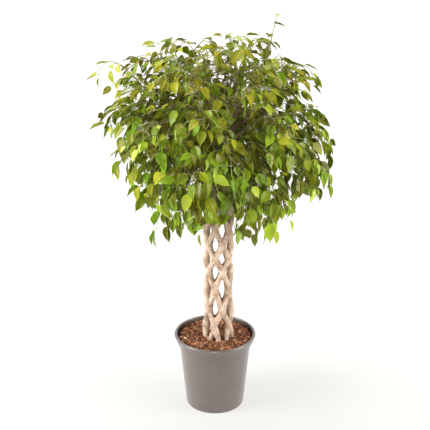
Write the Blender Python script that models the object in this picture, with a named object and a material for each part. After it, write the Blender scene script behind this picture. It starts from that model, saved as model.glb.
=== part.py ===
"""A weeping fig in a nursery pot.

Ten slender stems are trained round a cylinder and grafted where they cross, so the trunk is an open lattice.
Above it they open into boughs, and leafy sprays hang from the boughs in a round crown.
Metres, +Z up. The origin is the middle of the pot's underside, and the front of the plant faces -Y.
"""

import math

import bmesh
import bpy
import numpy as np
from mathutils import Vector, noise
from mathutils.bvhtree import BVHTree

# Driving dimensions
GAP = 0.0003
SEGMENTS = 30

POT_HEIGHT = 0.300
RIM_RADIUS = 0.160
RIM_BAND = 0.030
BODY_TOP_RADIUS = 0.141
BASE_RADIUS = 0.1155
LIP_INNER_RADIUS = 0.1495
WALL = 0.0028
FLOOR = 0.006
DRAIN_COUNT = 6
DRAIN_RADIUS = 0.006
DRAIN_RING = 0.075

SOIL_EDGE = 0.2865
SOIL_MOUND = 0.005
SOIL_ROUGHNESS = 0.0028
SOIL_RINGS = (0.026, 0.056, 0.086, 0.118)

TRUNK_X = 0.014
STEMS_EACH_WAY = 5
FIRST_CROSSING = math.radians(18)
# The lattice tightens upwards, as it grew. The first crossing lies down in the soil.
CROSSING_HEIGHTS = (0.252, 0.341, 0.396, 0.494, 0.562, 0.614, 0.670, 0.731, 0.792, 0.853)
# The grafts at the back lie lower than those in front, by this share of their distance apart.
LATTICE_SLOPE = 0.35
SLOPE_FADES = 0.06
LATTICE_RADIUS = 0.0458
LATTICE_TOP = 0.840
FOOT_SPREAD = 0.0075
# A stem is slenderer at the soil by this share, and passes over and under its neighbours by the weave.
FOOT_TAPER = 0.14
WEAVE = 0.0032
STEM_RADIUS = 0.0112
GRAFT_SWELLING = 0.10
STEM_SIDES = 5
STEM_FOOT = 0.249
STEM_LEAVES_SOIL = 0.2975

CROWN_CENTRE = np.array((0.005, 0.0, 1.075))
CROWN_REACH = 0.372
CROWN_RISE = 0.385
CROWN_FALL = 0.320
CROWN_SHOULDER = 0.85
# The lower half of the crown is shifted to the right, in full from this depth below the centre.
LOWER_SHIFT = 0.050
SHIFT_DEPTH = 0.10
BASE_REACH = 0.180
BASE_RISE = 0.185
BASE_LIFT = 0.8
LENGTH_SPREAD = (0.92, 1.04)
LOWEST_POLAR = math.radians(124)
SPRAYS = 36
GOLDEN_ANGLE = math.radians(137.508)
LOOSE_TURN = 0.12
BOUGH_SIDES = 4
FORK_RADIUS = 0.0052
BOUGH_END_RADIUS = 0.0036

TWIG_RADIUS = 0.0032
TWIG_TIP_RADIUS = 0.0018
TWIG_SIDES = 3
TWIG_ROOT_RADIUS = 0.0012
SIDE_TWIG_RADIUS = 0.0024
SIDE_TWIG_REACH = (0.075, 0.115)
LEAF_LENGTH = 0.067
LEAF_WIDTH = 0.043
STALK_LENGTH = 0.018
LEAF_SPREAD = 0.18
SMALLER_ABOVE = 0.22
LEAF_ARCH = 0.10
LEAF_PLACES = (0.28, 0.52, 0.76)
SIDE_LEAF_PLACES = (0.55,)
SHOOT_LEAF_PLACES = (0.20, 0.36, 0.52, 0.68, 0.84)
STALK_START = 0.0045
CLEARANCE = 0.0008
HIGHEST_HANG = 0.12
TRIES = 14
SEED = 7

SHOOT_BASE = np.array((0.160, 0.030, 1.275))
SHOOT_TIP = np.array((0.212, 0.000, 1.522))
# Single sprays that stand out of the crown end here.
LONG_TIPS = np.array((
    (-0.205, -0.050, 1.435),
    (-0.425, -0.030, 1.330),
    (-0.380, -0.020, 1.150),
    (0.350, 0.020, 1.330),
    (0.410, -0.020, 1.080),
    (-0.210, -0.160, 0.800),
    (0.190, -0.190, 0.810),
))

TAU = 2 * math.pi
UP = np.array((0.0, 0.0, 1.0))


def unit(vector):
    return vector / np.linalg.norm(vector)


def square_to(vector, axis):
    """The part of a vector that is square to an axis, at unit length."""
    return unit(vector - axis * np.dot(vector, axis))


def bezier(p0, p1, p2, p3, count):
    """Points along a cubic curve, at equal steps of its parameter."""
    t = np.linspace(0, 1, count)[:, None]
    s = 1 - t
    return s**3 * p0 + 3 * s**2 * t * p1 + 3 * s * t**2 * p2 + t**3 * p3


def rings_along(path, radii, sides, first=None, last=None, side=None):
    """A regular polygon carried along a path with least twist, as an array of rings of points."""
    tangents = np.gradient(path, axis=0)
    if first is not None:
        tangents[0] = first
    if last is not None:
        tangents[-1] = last
    tangents /= np.linalg.norm(tangents, axis=1)[:, None]
    if side is None:
        side = np.cross(tangents[0], (0.31, 0.93, 0.19))
    angles = np.arange(sides) * TAU / sides
    rings = []
    for centre, tangent, radius in zip(path, tangents, radii):
        side = square_to(side, tangent)
        other = np.cross(tangent, side)
        ring = np.outer(np.cos(angles), side) + np.outer(np.sin(angles), other)
        rings.append(centre + radius * ring)
    return np.array(rings)


def closed_strip(rings, point=None):
    """Points and faces of a closed strip through the rings. It ends flat, or in a point if one is given."""
    count, sides, _ = rings.shape
    points = rings.reshape(-1, 3)
    faces = [tuple(reversed(range(sides)))]
    for start in range(0, (count - 1) * sides, sides):
        for j in range(sides):
            k = (j + 1) % sides
            faces.append((start + j, start + k, start + k + sides, start + j + sides))
    last = (count - 1) * sides
    if point is None:
        faces.append(tuple(range(last, last + sides)))
    else:
        points = np.vstack((points, point))
        faces += [(last + j, last + (j + 1) % sides, last + sides) for j in range(sides)]
    return points, faces


def tube(path, radii, sides, first=None, last=None, side=None):
    return closed_strip(rings_along(path, radii, sides, first, last, side))


def material(name, colour, roughness):
    made = bpy.data.materials.new(name)
    made.use_nodes = True
    shader = made.node_tree.nodes["Principled BSDF"]
    shader.inputs["Base Color"].default_value = (*colour, 1)
    shader.inputs["Roughness"].default_value = roughness
    shader.inputs["Metallic"].default_value = 0
    return made


def solid(name, points, faces, surface=None):
    mesh = bpy.data.meshes.new(name)
    mesh.from_pydata([tuple(p) for p in points], [], faces)
    mesh.validate()
    made = bpy.data.objects.new(name, mesh)
    bpy.context.scene.collection.objects.link(made)
    if surface:
        mesh.materials.append(surface)
    return made


def boolean_with(target, cutters, operation, solver="EXACT"):
    """Joins every cutter to the target, or cuts them all from it, then removes them."""
    group = bpy.data.collections.new(target.name + "_repeats")
    bpy.context.scene.collection.children.link(group)
    for cutter in cutters:
        bpy.context.scene.collection.objects.unlink(cutter)
        group.objects.link(cutter)
    modifier = target.modifiers.new(operation.title(), "BOOLEAN")
    modifier.operation = operation
    modifier.operand_type = "COLLECTION"
    modifier.collection = group
    modifier.solver = solver
    bpy.context.view_layer.update()
    graph = bpy.context.evaluated_depsgraph_get()
    joined = bpy.data.meshes.new_from_object(target.evaluated_get(graph))
    target.modifiers.clear()
    target.data = joined
    for cutter in cutters:
        bpy.data.objects.remove(cutter)
    bpy.data.collections.remove(group)


def pot_profile():
    """Half of the pot's section as (radius, height): out along the underside, up, and down inside."""
    ledge = POT_HEIGHT - RIM_BAND
    outside = [
        (0.0, 0.0),
        (BASE_RADIUS - 0.0075, 0.0),
        (BASE_RADIUS, 0.005),
        (BODY_TOP_RADIUS, ledge - 0.004),
        (BODY_TOP_RADIUS + 0.003, ledge - 0.001),
        (RIM_RADIUS - 0.0085, ledge),
        (RIM_RADIUS - 0.0012, POT_HEIGHT - 0.005),
        (RIM_RADIUS, POT_HEIGHT - 0.002),
        (RIM_RADIUS - 0.002, POT_HEIGHT),
    ]
    return outside + inner_wall() + [(0.0, FLOOR)]


def inner_wall():
    """The inside of the pot, from the lip down to the floor, with the rim band's step in it."""
    step = POT_HEIGHT - RIM_BAND + WALL
    return [
        (LIP_INNER_RADIUS, POT_HEIGHT),
        (LIP_INNER_RADIUS - 0.0023, POT_HEIGHT - 0.0035),
        (LIP_INNER_RADIUS - 0.0031, step + 0.0022),
        (BODY_TOP_RADIUS - 0.001, step + 0.0002),
        (BODY_TOP_RADIUS - WALL, step - 0.0028),
        (BASE_RADIUS - 0.0015, FLOOR),
    ]


def turned(name, profile, surface):
    """A profile turned round the Z axis, with both its ends on the axis."""
    shape = bmesh.new()
    corners = [shape.verts.new((r, 0, z)) for r, z in profile]
    edges = [shape.edges.new(pair) for pair in zip(corners, corners[1:])]
    bmesh.ops.spin(
        shape,
        geom=corners + edges,
        cent=(0, 0, 0),
        axis=(0, 0, 1),
        angle=TAU,
        steps=SEGMENTS,
        use_merge=True,
    )
    bmesh.ops.remove_doubles(shape, verts=shape.verts, dist=1e-6)
    bmesh.ops.recalc_face_normals(shape, faces=shape.faces)
    mesh = bpy.data.meshes.new(name)
    shape.to_mesh(mesh)
    shape.free()
    mesh.materials.append(surface)
    made = bpy.data.objects.new(name, mesh)
    bpy.context.scene.collection.objects.link(made)
    return made


def make_pot():
    plastic = material("pot_plastic", (0.235, 0.205, 0.185), 0.42)
    pot = turned("pot", pot_profile(), plastic)
    drills = []
    for i in range(DRAIN_COUNT):
        angle = TAU * (i + 0.5) / DRAIN_COUNT
        middle = np.array((DRAIN_RING * math.cos(angle), DRAIN_RING * math.sin(angle), 0.0))
        path = np.array((middle - 0.01 * UP, middle + (FLOOR + 0.01) * UP))
        drills.append(solid(f"drain_{i}", *tube(path, (DRAIN_RADIUS,) * 2, STEM_SIDES)))
    boolean_with(pot, drills, "DIFFERENCE")
    pot.data.shade_smooth()
    pot.data.set_sharp_from_angle(angle=math.radians(35))


def inset(profile, gap):
    """An open profile moved to its left by the gap, corner by corner."""
    line = np.array(profile)
    along = np.diff(line, axis=0)
    normals = np.stack((-along[:, 1], along[:, 0]), axis=1)
    normals /= np.linalg.norm(normals, axis=1)[:, None]
    ends = np.vstack((normals[:1], normals, normals[-1:]))
    corners = ends[:-1] + ends[1:]
    corners *= 2 / np.sum(corners**2, axis=1)[:, None]
    return line + gap * corners


def soil_height(x, y):
    """The top of the soil: a low mound with rough chips on it."""
    reach = math.hypot(x, y) / LIP_INNER_RADIUS
    rough = noise.noise(Vector((x, y, 0)) * 70) + 0.5 * noise.noise(Vector((x, y, 3)) * 160)
    return SOIL_EDGE + SOIL_MOUND * (1 - reach**2) + SOIL_ROUGHNESS * rough * min(1, 8 * (1 - reach))


def make_soil():
    wall = inset(inner_wall()[::-1], 1.3 * GAP)[:4]
    edge_radius = wall[3][0] + 0.0001
    angles = np.arange(SEGMENTS) * TAU / SEGMENTS
    points = [(0.0, 0.0, wall[0][1])]
    for radius, height in [*wall, (edge_radius, SOIL_EDGE)]:
        points += [(radius * math.cos(a), radius * math.sin(a), height) for a in angles]
    for radius in reversed(SOIL_RINGS):
        for a in angles:
            x = radius * math.cos(a)
            y = radius * math.sin(a)
            points.append((x, y, soil_height(x, y)))
    points.append((0.0, 0.0, soil_height(0, 0)))
    rings = len(wall) + 1 + len(SOIL_RINGS)
    faces = []
    for j in range(SEGMENTS):
        k = (j + 1) % SEGMENTS
        faces.append((0, 1 + k, 1 + j))
        for ring in range(rings - 1):
            low = 1 + ring * SEGMENTS
            high = low + SEGMENTS
            faces.append((low + j, low + k, high + k, high + j))
        top = 1 + (rings - 1) * SEGMENTS
        faces.append((top + j, top + k, len(points) - 1))
    soil = solid("soil", points, faces, material("bark_chips", (0.20, 0.085, 0.04), 0.9))
    holes = []
    for i, (hand, first) in enumerate(stem_list()):
        foot, outward = stem_foot(hand, first)
        path = np.array((foot - GAP * UP, foot + 0.08 * UP))
        radius = stem_radius(STEM_LEAVES_SOIL) + 1.35 * GAP
        holes.append(solid(f"hole_{i}", *tube(path, (radius,) * 2, STEM_SIDES, side=outward)))
    boolean_with(soil, holes, "DIFFERENCE")


def stem_list():
    """(hand, angle at the first crossing) of each stem: five turn one way and five the other."""
    steps = [FIRST_CROSSING + i * TAU / STEMS_EACH_WAY for i in range(STEMS_EACH_WAY)]
    return [(hand, step) for step in steps for hand in (1, -1)]


def turn_at(z):
    """How far a stem has turned at a height. Each crossing takes half the angle between stems."""
    steps = np.arange(len(CROSSING_HEIGHTS)) * math.pi / STEMS_EACH_WAY
    spread = np.array((-0.016, -0.008, 0.0, 0.008, 0.016))
    return np.mean(np.interp(z + spread, CROSSING_HEIGHTS, steps))


def ring_radius(z):
    """The radius of the lattice, which spreads a little at the soil."""
    return LATTICE_RADIUS + FOOT_SPREAD * math.exp(-max(z - STEM_LEAVES_SOIL, 0) / 0.03)


def stem_radius(z):
    """A stem is slender at the soil, narrows a little upwards and swells at each graft."""
    above = max(z - STEM_LEAVES_SOIL, 0)
    swelling = GRAFT_SWELLING * math.cos(turn_at(z) * STEMS_EACH_WAY) ** 2 if above else 0
    taper = FOOT_TAPER * math.exp(-above / 0.02)
    return (STEM_RADIUS - 0.0015 * above) * (1 - GRAFT_SWELLING / 2 + swelling - taper)


def lattice_point(hand, first, z):
    """The middle of a stem at a height, which the lattice's slope then raises in front and lowers behind."""
    turn = turn_at(max(z, STEM_LEAVES_SOIL))
    angle = first + hand * turn
    radius = ring_radius(z) + hand * WEAVE * math.cos(turn * STEMS_EACH_WAY)
    y = -radius * math.cos(angle)
    inside = min(z - STEM_LEAVES_SOIL, LATTICE_TOP - z) / SLOPE_FADES
    raised = -LATTICE_SLOPE * y * min(1, max(0, inside))
    return np.array((TRUNK_X + radius * math.sin(angle), y, z + raised))


def stem_foot(hand, first):
    """The lower end of a stem in the soil, and its direction away from the lattice's axis."""
    foot = lattice_point(hand, first, STEM_FOOT)
    return foot, unit(foot - np.array((TRUNK_X, 0.0, STEM_FOOT)))


def stem_heights():
    """The heights of a stem's rings: its foot, each crossing and halfway between."""
    marks = [STEM_FOOT, STEM_LEAVES_SOIL]
    seen = [z for z in CROSSING_HEIGHTS if STEM_LEAVES_SOIL < z < LATTICE_TOP]
    for low, high in zip(seen, [*seen[1:], LATTICE_TOP]):
        marks += [low, (low + high) / 2]
    return [*marks, LATTICE_TOP]


def crown_point(azimuth, polar, reach, rise, shoulder=1.0):
    """A point on a flattened ball round the crown's centre. The polar angle is taken from straight up.

    A shoulder under 1 makes the ball squarer, with a flatter top and fuller sides. Its lower half stands
    further to the right.
    """
    outward = np.array((math.cos(azimuth), math.sin(azimuth), 0.0))
    across = reach * math.sin(polar) ** shoulder
    height = math.copysign(rise * abs(math.cos(polar)) ** shoulder, math.cos(polar))
    shift = LOWER_SHIFT * min(1, max(0, -height / SHIFT_DEPTH))
    return CROWN_CENTRE + across * outward + np.array((shift, 0.0, height))


def spray_plan():
    """For each spray, in order of azimuth: where it leaves its bough, in which direction, and its tip."""
    rng = np.random.default_rng(SEED)
    plan = []
    for i in range(SPRAYS):
        polar = math.acos(1 - (i + 0.5) / SPRAYS * (1 - math.cos(LOWEST_POLAR)))
        azimuth = (i * GOLDEN_ANGLE + rng.uniform(-LOOSE_TURN, LOOSE_TURN)) % TAU
        longer = rng.uniform(*LENGTH_SPREAD)
        outward = np.array((math.cos(azimuth), math.sin(azimuth), 0.0))
        steep = BASE_LIFT * polar
        start = crown_point(azimuth, steep, BASE_REACH, BASE_RISE)
        heading = unit(outward * (0.3 + 0.7 * math.sin(steep)) + UP * (0.35 + 0.75 * math.cos(steep)))
        rise = CROWN_RISE if polar < math.pi / 2 else CROWN_FALL
        tip = crown_point(azimuth, polar, CROWN_REACH * longer, rise * longer, CROWN_SHOULDER)
        plan.append((azimuth, polar, start, heading, tip))
    for tip in LONG_TIPS:
        nearest = min(range(SPRAYS), key=lambda i: np.linalg.norm(plan[i][4] - tip))
        plan[nearest] = (*plan[nearest][:4], tip)
    return sorted(plan, key=lambda spray: spray[0])


def bough_plan():
    """The stems, each drawn out into a bough, and the boughs that fork off them.

    Each is (path, radii, end heading). A stem takes its share of the sprays by azimuth, and carries the
    highest of them on its own end. The sprays come back in the order in which the boughs carry them.
    """
    sprays = spray_plan()
    ends = np.linspace(0, len(sprays), 2 * STEMS_EACH_WAY + 1).round().astype(int)
    tops = []
    for hand, first in stem_list():
        top = lattice_point(hand, first, LATTICE_TOP)
        below = lattice_point(hand, first, LATTICE_TOP - 0.012)
        azimuth = math.atan2(top[1], top[0] - TRUNK_X) % TAU
        tops.append((azimuth, hand, first, top, unit(top - below)))
    tops.sort(key=lambda entry: entry[0])
    stems = []
    forks = []
    carried = []
    for k, (_, hand, first, top, rising) in enumerate(tops):
        group = sorted(sprays[ends[k] : ends[k + 1]], key=lambda spray: spray[1])
        main = group[0]
        outward = unit(top - np.array((TRUNK_X, 0.0, top[2])))
        bough = bezier(
            top,
            top + 0.06 * unit(rising + 0.35 * outward),
            main[2] - 0.12 * main[3],
            main[2],
            7,
        )
        heights = stem_heights()
        lattice = np.array([lattice_point(hand, first, z) for z in heights])
        widths = [stem_radius(z) for z in heights]
        widths += list(np.linspace(stem_radius(LATTICE_TOP) * 0.95, BOUGH_END_RADIUS, 6))
        stems.append((np.vstack((lattice, bough[1:])), widths, main[3]))
        carried.append(main)
        for spray, place in zip(group[1:], (4, 3, 2)):
            root = bough[place]
            along = unit(bough[place + 1] - bough[place])
            reach = np.linalg.norm(spray[2] - root)
            bend = 0.35 * reach
            path = bezier(root, root + bend * along, spray[2] - bend * spray[3], spray[2], 4)
            forks.append((path, np.linspace(FORK_RADIUS, BOUGH_END_RADIUS, 4), spray[3]))
            carried.append(spray)
    forks.append(shoot_bough(stems))
    return stems, forks, carried


def shoot_bough(stems):
    """The bough under the tall shoot, which forks off the nearest stem's bough."""
    nearest = min(stems, key=lambda stem: np.linalg.norm(stem[0][-2] - SHOOT_BASE))
    root = nearest[0][-3]
    heading = shoot_heading()
    path = bezier(root, root + 0.06 * UP, SHOOT_BASE - 0.06 * heading, SHOOT_BASE, 5)
    return path, np.linspace(FORK_RADIUS, BOUGH_END_RADIUS, 5), heading


def shoot_heading():
    return unit(SHOOT_TIP - SHOOT_BASE)


def make_trunk(stems, forks):
    """All stems and boughs, fused where they cross or fork."""
    bark = material("bark", (0.62, 0.46, 0.33), 0.8)
    pieces = []
    for path, radii, heading in stems:
        outward = unit(path[0] - np.array((TRUNK_X, 0.0, path[0][2])))
        shape = tube(path, radii, STEM_SIDES, first=UP, last=heading, side=outward)
        pieces.append(solid(f"stem_{len(pieces)}", *shape, bark))
    for path, radii, heading in forks:
        shape = tube(path, radii, BOUGH_SIDES, last=heading)
        pieces.append(solid(f"fork_{len(pieces)}", *shape, bark))
    trunk = pieces[0]
    boolean_with(trunk, pieces[1:], "UNION", "MANIFOLD")
    trunk.name = "trunk"
    trunk.data.name = "trunk"
    trunk.data.shade_smooth()
    trunk.data.set_sharp_from_angle(angle=math.radians(50))
    return trunk


def leaf_rings(root, stalk, hang, face, size, start=0.0, spare=0.0):
    """The rings of a leaf, and its point: a thin stalk, then a blade that arches and is thickest at its keel.

    stalk and hang are the directions of the stalk and the blade, and face is the way its upper side looks.
    start leaves out the stalk's first stretch, and spare fattens the leaf, to test that it is clear.
    """
    length = LEAF_LENGTH * size
    face = square_to(face, hang)
    across = np.cross(face, hang)
    neck = root + stalk * STALK_LENGTH
    rings = []
    for share, along, half, above, below in (
        (None, stalk, 0.0005, 0.0003, 0.0005),
        (0, unit(stalk + hang), 0.0009, 0.0005, 0.0009),
        (0.34, hang, 0.5 * LEAF_WIDTH * size, 0.0004, 0.0008),
        (0.70, hang, 0.33 * LEAF_WIDTH * size, 0.0003, 0.0008),
    ):
        side = square_to(across, along)
        normal = np.cross(along, side)
        if share is None:
            centre = root + stalk * start
        else:
            centre = neck + length * (share * hang - LEAF_ARCH * share**2 * face)
        edge = side * (half + spare)
        upper = centre + normal * (above + spare)
        rings.append((upper + edge, upper - edge, centre - normal * (below + spare)))
    return np.array(rings), neck + (length + 4 * spare) * hang - length * LEAF_ARCH * face


class Clearing:
    """Everything placed so far, to keep each new twig and leaf clear of it."""

    def __init__(self):
        self.centres = []
        self.reaches = []
        self.trees = []

    def add(self, points, faces):
        low, high = points.min(axis=0), points.max(axis=0)
        self.centres.append((low + high) / 2)
        self.reaches.append(np.linalg.norm(high - low) / 2)
        self.trees.append(BVHTree.FromPolygons([tuple(p) for p in points], faces))

    def is_clear(self, points, faces):
        low, high = points.min(axis=0), points.max(axis=0)
        away = np.linalg.norm(np.array(self.centres) - (low + high) / 2, axis=1)
        near = np.nonzero(away < np.array(self.reaches) + np.linalg.norm(high - low) / 2)[0]
        tree = BVHTree.FromPolygons([tuple(p) for p in points], faces)
        return not any(self.trees[i].overlap(tree) for i in near)


def twig_rings(path, radius, heading=None, spare=0.0):
    """A twig's rings. One that grows from another twig starts thin, so that its root stays inside it."""
    radii = np.linspace(radius, TWIG_TIP_RADIUS, len(path))
    if heading is None:
        radii[0] = TWIG_ROOT_RADIUS
    return rings_along(path, radii + spare, TWIG_SIDES, first=heading)


def main_twig(spray, rng, placed):
    """A spray's own twig, clear of all others: it leaves the bough along its heading and droops to its tip.

    Twigs at the crown's sides droop most, and those on its top trail outwards most.
    """
    azimuth, polar, start, heading, tip = spray
    outward = np.array((math.cos(azimuth), math.sin(azimuth), 0.0))
    root = start + heading * GAP
    for attempt in range(3 * TRIES):
        goal = tip + rng.normal(0, 0.006 + 0.002 * attempt, 3)
        reach = np.linalg.norm(goal - root)
        droop = 0.10 + 0.35 * math.sin(polar) ** 2
        trail = 0.30 * math.cos(0.7 * polar)
        over = goal + reach * (droop * UP - trail * outward)
        path = bezier(root, root + 0.42 * reach * heading, over, goal, 6)
        if placed.is_clear(*closed_strip(twig_rings(path, TWIG_RADIUS, heading, CLEARANCE))):
            placed.add(*closed_strip(twig_rings(path, TWIG_RADIUS, heading)))
            return path
    raise ValueError("a main twig found no clear way")


def side_twig(path, place, hand, rng, placed):
    """A short twig off a spray's own, which leaves it sideways and droops, or None where there is no room."""
    root = path[place]
    along = unit(path[place + 1] - path[place - 1])
    level = unit(np.cross(along, UP) + 1e-6)
    for _ in range(TRIES):
        sideways = hand * level * rng.uniform(0.7, 1.0) + 0.35 * rng.normal(0, 1, 3)
        away = unit(0.55 * along + 0.8 * sideways)
        reach = rng.uniform(*SIDE_TWIG_REACH)
        goal = root + reach * away - 0.30 * reach * UP
        twig = bezier(root, root + 0.35 * reach * away, goal + 0.2 * reach * UP, goal, 3)
        free = np.vstack((root + 0.006 * away, twig[1:]))
        if placed.is_clear(*closed_strip(twig_rings(free, SIDE_TWIG_RADIUS, away, CLEARANCE))):
            placed.add(*closed_strip(twig_rings(free, SIDE_TWIG_RADIUS, away)))
            return twig
    return None


def clear_leaf(root, along, hand, rng, placed):
    """A leaf that hangs from a twig, on one side of it or at its end, turned until it is clear, or None."""
    outward = unit(root - CROWN_CENTRE + 0.12 * UP)
    level = unit(np.cross(along, UP) + 1e-6)
    for attempt in range(TRIES):
        loose = 0.22 + 0.05 * attempt
        stalk = unit(0.5 * along + 0.8 * hand * level + loose * rng.normal(0, 1, 3))
        weight = 0.12 + 0.70 * (1 - max(outward[2], 0)) ** 2
        hang = unit(0.40 * stalk + 0.45 * along - weight * UP + loose * rng.normal(0, 1, 3))
        face = unit(outward + 0.7 * UP + 1.3 * loose * rng.normal(0, 1, 3))
        size = rng.uniform(1 - LEAF_SPREAD, 1 + LEAF_SPREAD) * (1 - SMALLER_ABOVE * max(outward[2], 0))
        folded = abs(np.dot(face, hang)) > 0.93 or np.dot(stalk, hang) < -0.5
        if folded or hang[2] > HIGHEST_HANG or (hand == 0 and np.dot(stalk, along) < 0.5):
            continue
        pose = (root, stalk, hang, face, size)
        if placed.is_clear(*closed_strip(*leaf_rings(*pose, start=STALK_START, spare=CLEARANCE / 2))):
            placed.add(*closed_strip(*leaf_rings(*pose, start=STALK_START)))
            return leaf_rings(*pose)
    return None


def leafy(rings, path, places, rng, placed, hand):
    """A twig's solids: itself, ending in a leaf where one is clear, and leaves on alternate sides of it."""
    steps = np.linspace(0, 1, len(path))
    found = []
    for share in places:
        root = np.array([np.interp(share, steps, path[:, axis]) for axis in range(3)])
        at = int(share * (len(path) - 1))
        found.append(clear_leaf(root, unit(path[at + 1] - path[at]), hand, rng, placed))
        hand = -hand
    end = clear_leaf(path[-1], unit(path[-1] - path[-2]), 0, rng, placed)
    if end is None:
        own = closed_strip(rings)
    else:
        blade, point = end
        own = closed_strip(np.concatenate((rings, least_twisted(rings[-1], blade[1:]))), point)
    return [own] + [closed_strip(*shape) for shape in found if shape]


def least_twisted(ring, rings):
    """The rings with their points renumbered alike, so that the first follows on from the given ring."""
    middle = ring - ring.mean(axis=0)
    turned_by = [np.roll(rings, turn, axis=1) for turn in range(TWIG_SIDES)]
    return max(turned_by, key=lambda r: np.sum(middle * (r[0] - r[0].mean(axis=0))))


def make_sprays(carried, placed):
    """Each spray: its own twig, side twigs and leaves, fused into one. The tall shoot comes last."""
    rng = np.random.default_rng(SEED + 1)
    green = material("leaf_green", (0.12, 0.22, 0.025), 0.38)
    twigs = [main_twig(spray, rng, placed) for spray in carried]
    forks = []
    for i, path in enumerate(twigs):
        hand = 1 if i % 2 else -1
        found = [side_twig(path, place, turn, rng, placed) for place, turn in ((2, hand), (3, -hand))]
        forks.append([twig for twig in found if twig is not None])
    for i, (spray, path) in enumerate(zip(carried, twigs)):
        rings = twig_rings(path, TWIG_RADIUS, spray[3])
        solids = leafy(rings, path, LEAF_PLACES, rng, placed, 1)
        for twig in forks[i]:
            solids += leafy(twig_rings(twig, SIDE_TWIG_RADIUS), twig, SIDE_LEAF_PLACES, rng, placed, -1)
        fuse_spray(f"spray_{i + 1:02d}", solids, green)
    path = shoot_twig()
    rings = twig_rings(path, TWIG_RADIUS, shoot_heading())
    placed.add(*closed_strip(rings))
    fuse_spray("top_shoot", leafy(rings, path, SHOOT_LEAF_PLACES, rng, placed, 1), green)


def fuse_spray(name, solids, surface):
    own = solid(name, *solids[0], surface)
    repeats = [solid(f"{name}_{i}", *shape) for i, shape in enumerate(solids[1:])]
    boolean_with(own, repeats, "UNION", "MANIFOLD")


def shoot_twig():
    root = SHOOT_BASE + shoot_heading() * GAP
    bend = 0.25 * np.linalg.norm(SHOOT_TIP - root)
    return bezier(root, root + bend * shoot_heading(), SHOOT_TIP - bend * unit(UP + 0.15), SHOOT_TIP, 6)


def main():
    for old in list(bpy.data.objects):
        bpy.data.objects.remove(old)
    make_pot()
    make_soil()
    stems, forks, carried = bough_plan()
    make_trunk(stems, forks)
    placed = Clearing()
    for path, radii, heading in stems:
        placed.add(*tube(path, radii, STEM_SIDES, first=UP, last=heading))
    for path, radii, heading in forks:
        placed.add(*tube(path, radii, BOUGH_SIDES, last=heading))
    make_sprays(carried, placed)


main()
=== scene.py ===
"""The looks of a potted weeping fig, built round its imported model.

The trunk, the boughs and every spray follow the same seeded plan as the solids, so the fine leaves hang
where the plain ones do. More twigs and leaves then fill the crown, each tested clear of what is there.
Metres, +Z up, with the front of the plant towards -Y.
"""

import math

import bpy
import numpy as np
from mathutils.bvhtree import BVHTree
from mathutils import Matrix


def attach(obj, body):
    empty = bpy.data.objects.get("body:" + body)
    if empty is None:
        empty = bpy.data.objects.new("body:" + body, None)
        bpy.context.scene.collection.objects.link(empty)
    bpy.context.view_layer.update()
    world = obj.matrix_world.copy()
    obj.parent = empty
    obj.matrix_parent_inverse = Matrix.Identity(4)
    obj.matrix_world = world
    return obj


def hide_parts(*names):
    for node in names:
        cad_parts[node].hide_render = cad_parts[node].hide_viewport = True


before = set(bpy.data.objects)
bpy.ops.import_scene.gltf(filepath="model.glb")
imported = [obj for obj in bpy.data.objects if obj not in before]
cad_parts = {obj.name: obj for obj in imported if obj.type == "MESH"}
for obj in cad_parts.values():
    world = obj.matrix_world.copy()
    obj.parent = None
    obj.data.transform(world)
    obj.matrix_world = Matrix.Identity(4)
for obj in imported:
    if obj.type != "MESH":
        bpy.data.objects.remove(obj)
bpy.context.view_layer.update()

TAU = 2 * math.pi
UP = np.array((0.0, 0.0, 1.0))

# Sizes of the solids, as the part's source has them
GAP = 0.0003
POT_HEIGHT = 0.300
RIM_RADIUS = 0.160
RIM_BAND = 0.030
BODY_TOP_RADIUS = 0.141
BASE_RADIUS = 0.1155
LIP_INNER_RADIUS = 0.1495
WALL = 0.0028
FLOOR = 0.006
DRAIN_COUNT = 6
DRAIN_RADIUS = 0.006
DRAIN_RING = 0.075
SOIL_EDGE = 0.2865
SOIL_MOUND = 0.005

TRUNK_X = 0.014
STEMS_EACH_WAY = 5
FIRST_CROSSING = math.radians(18)
CROSSING_HEIGHTS = (0.252, 0.341, 0.396, 0.494, 0.562, 0.614, 0.670, 0.731, 0.792, 0.853)
LATTICE_SLOPE = 0.35
SLOPE_FADES = 0.06
LATTICE_RADIUS = 0.0458
LATTICE_TOP = 0.840
FOOT_SPREAD = 0.0075
FOOT_TAPER = 0.14
WEAVE = 0.0032
STEM_RADIUS = 0.0112
GRAFT_SWELLING = 0.10
STEM_FOOT = 0.249
STEM_LEAVES_SOIL = 0.2975
STEM_SIDES = 5

CROWN_CENTRE = np.array((0.005, 0.0, 1.075))
CROWN_REACH = 0.372
CROWN_RISE = 0.385
CROWN_FALL = 0.320
CROWN_SHOULDER = 0.85
LOWER_SHIFT = 0.050
SHIFT_DEPTH = 0.10
BASE_REACH = 0.180
BASE_RISE = 0.185
BASE_LIFT = 0.8
LENGTH_SPREAD = (0.92, 1.04)
LOWEST_POLAR = math.radians(124)
SPRAYS = 36
GOLDEN_ANGLE = math.radians(137.508)
LOOSE_TURN = 0.12
BOUGH_SIDES = 4
FORK_RADIUS = 0.0052
BOUGH_END_RADIUS = 0.0036

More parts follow.
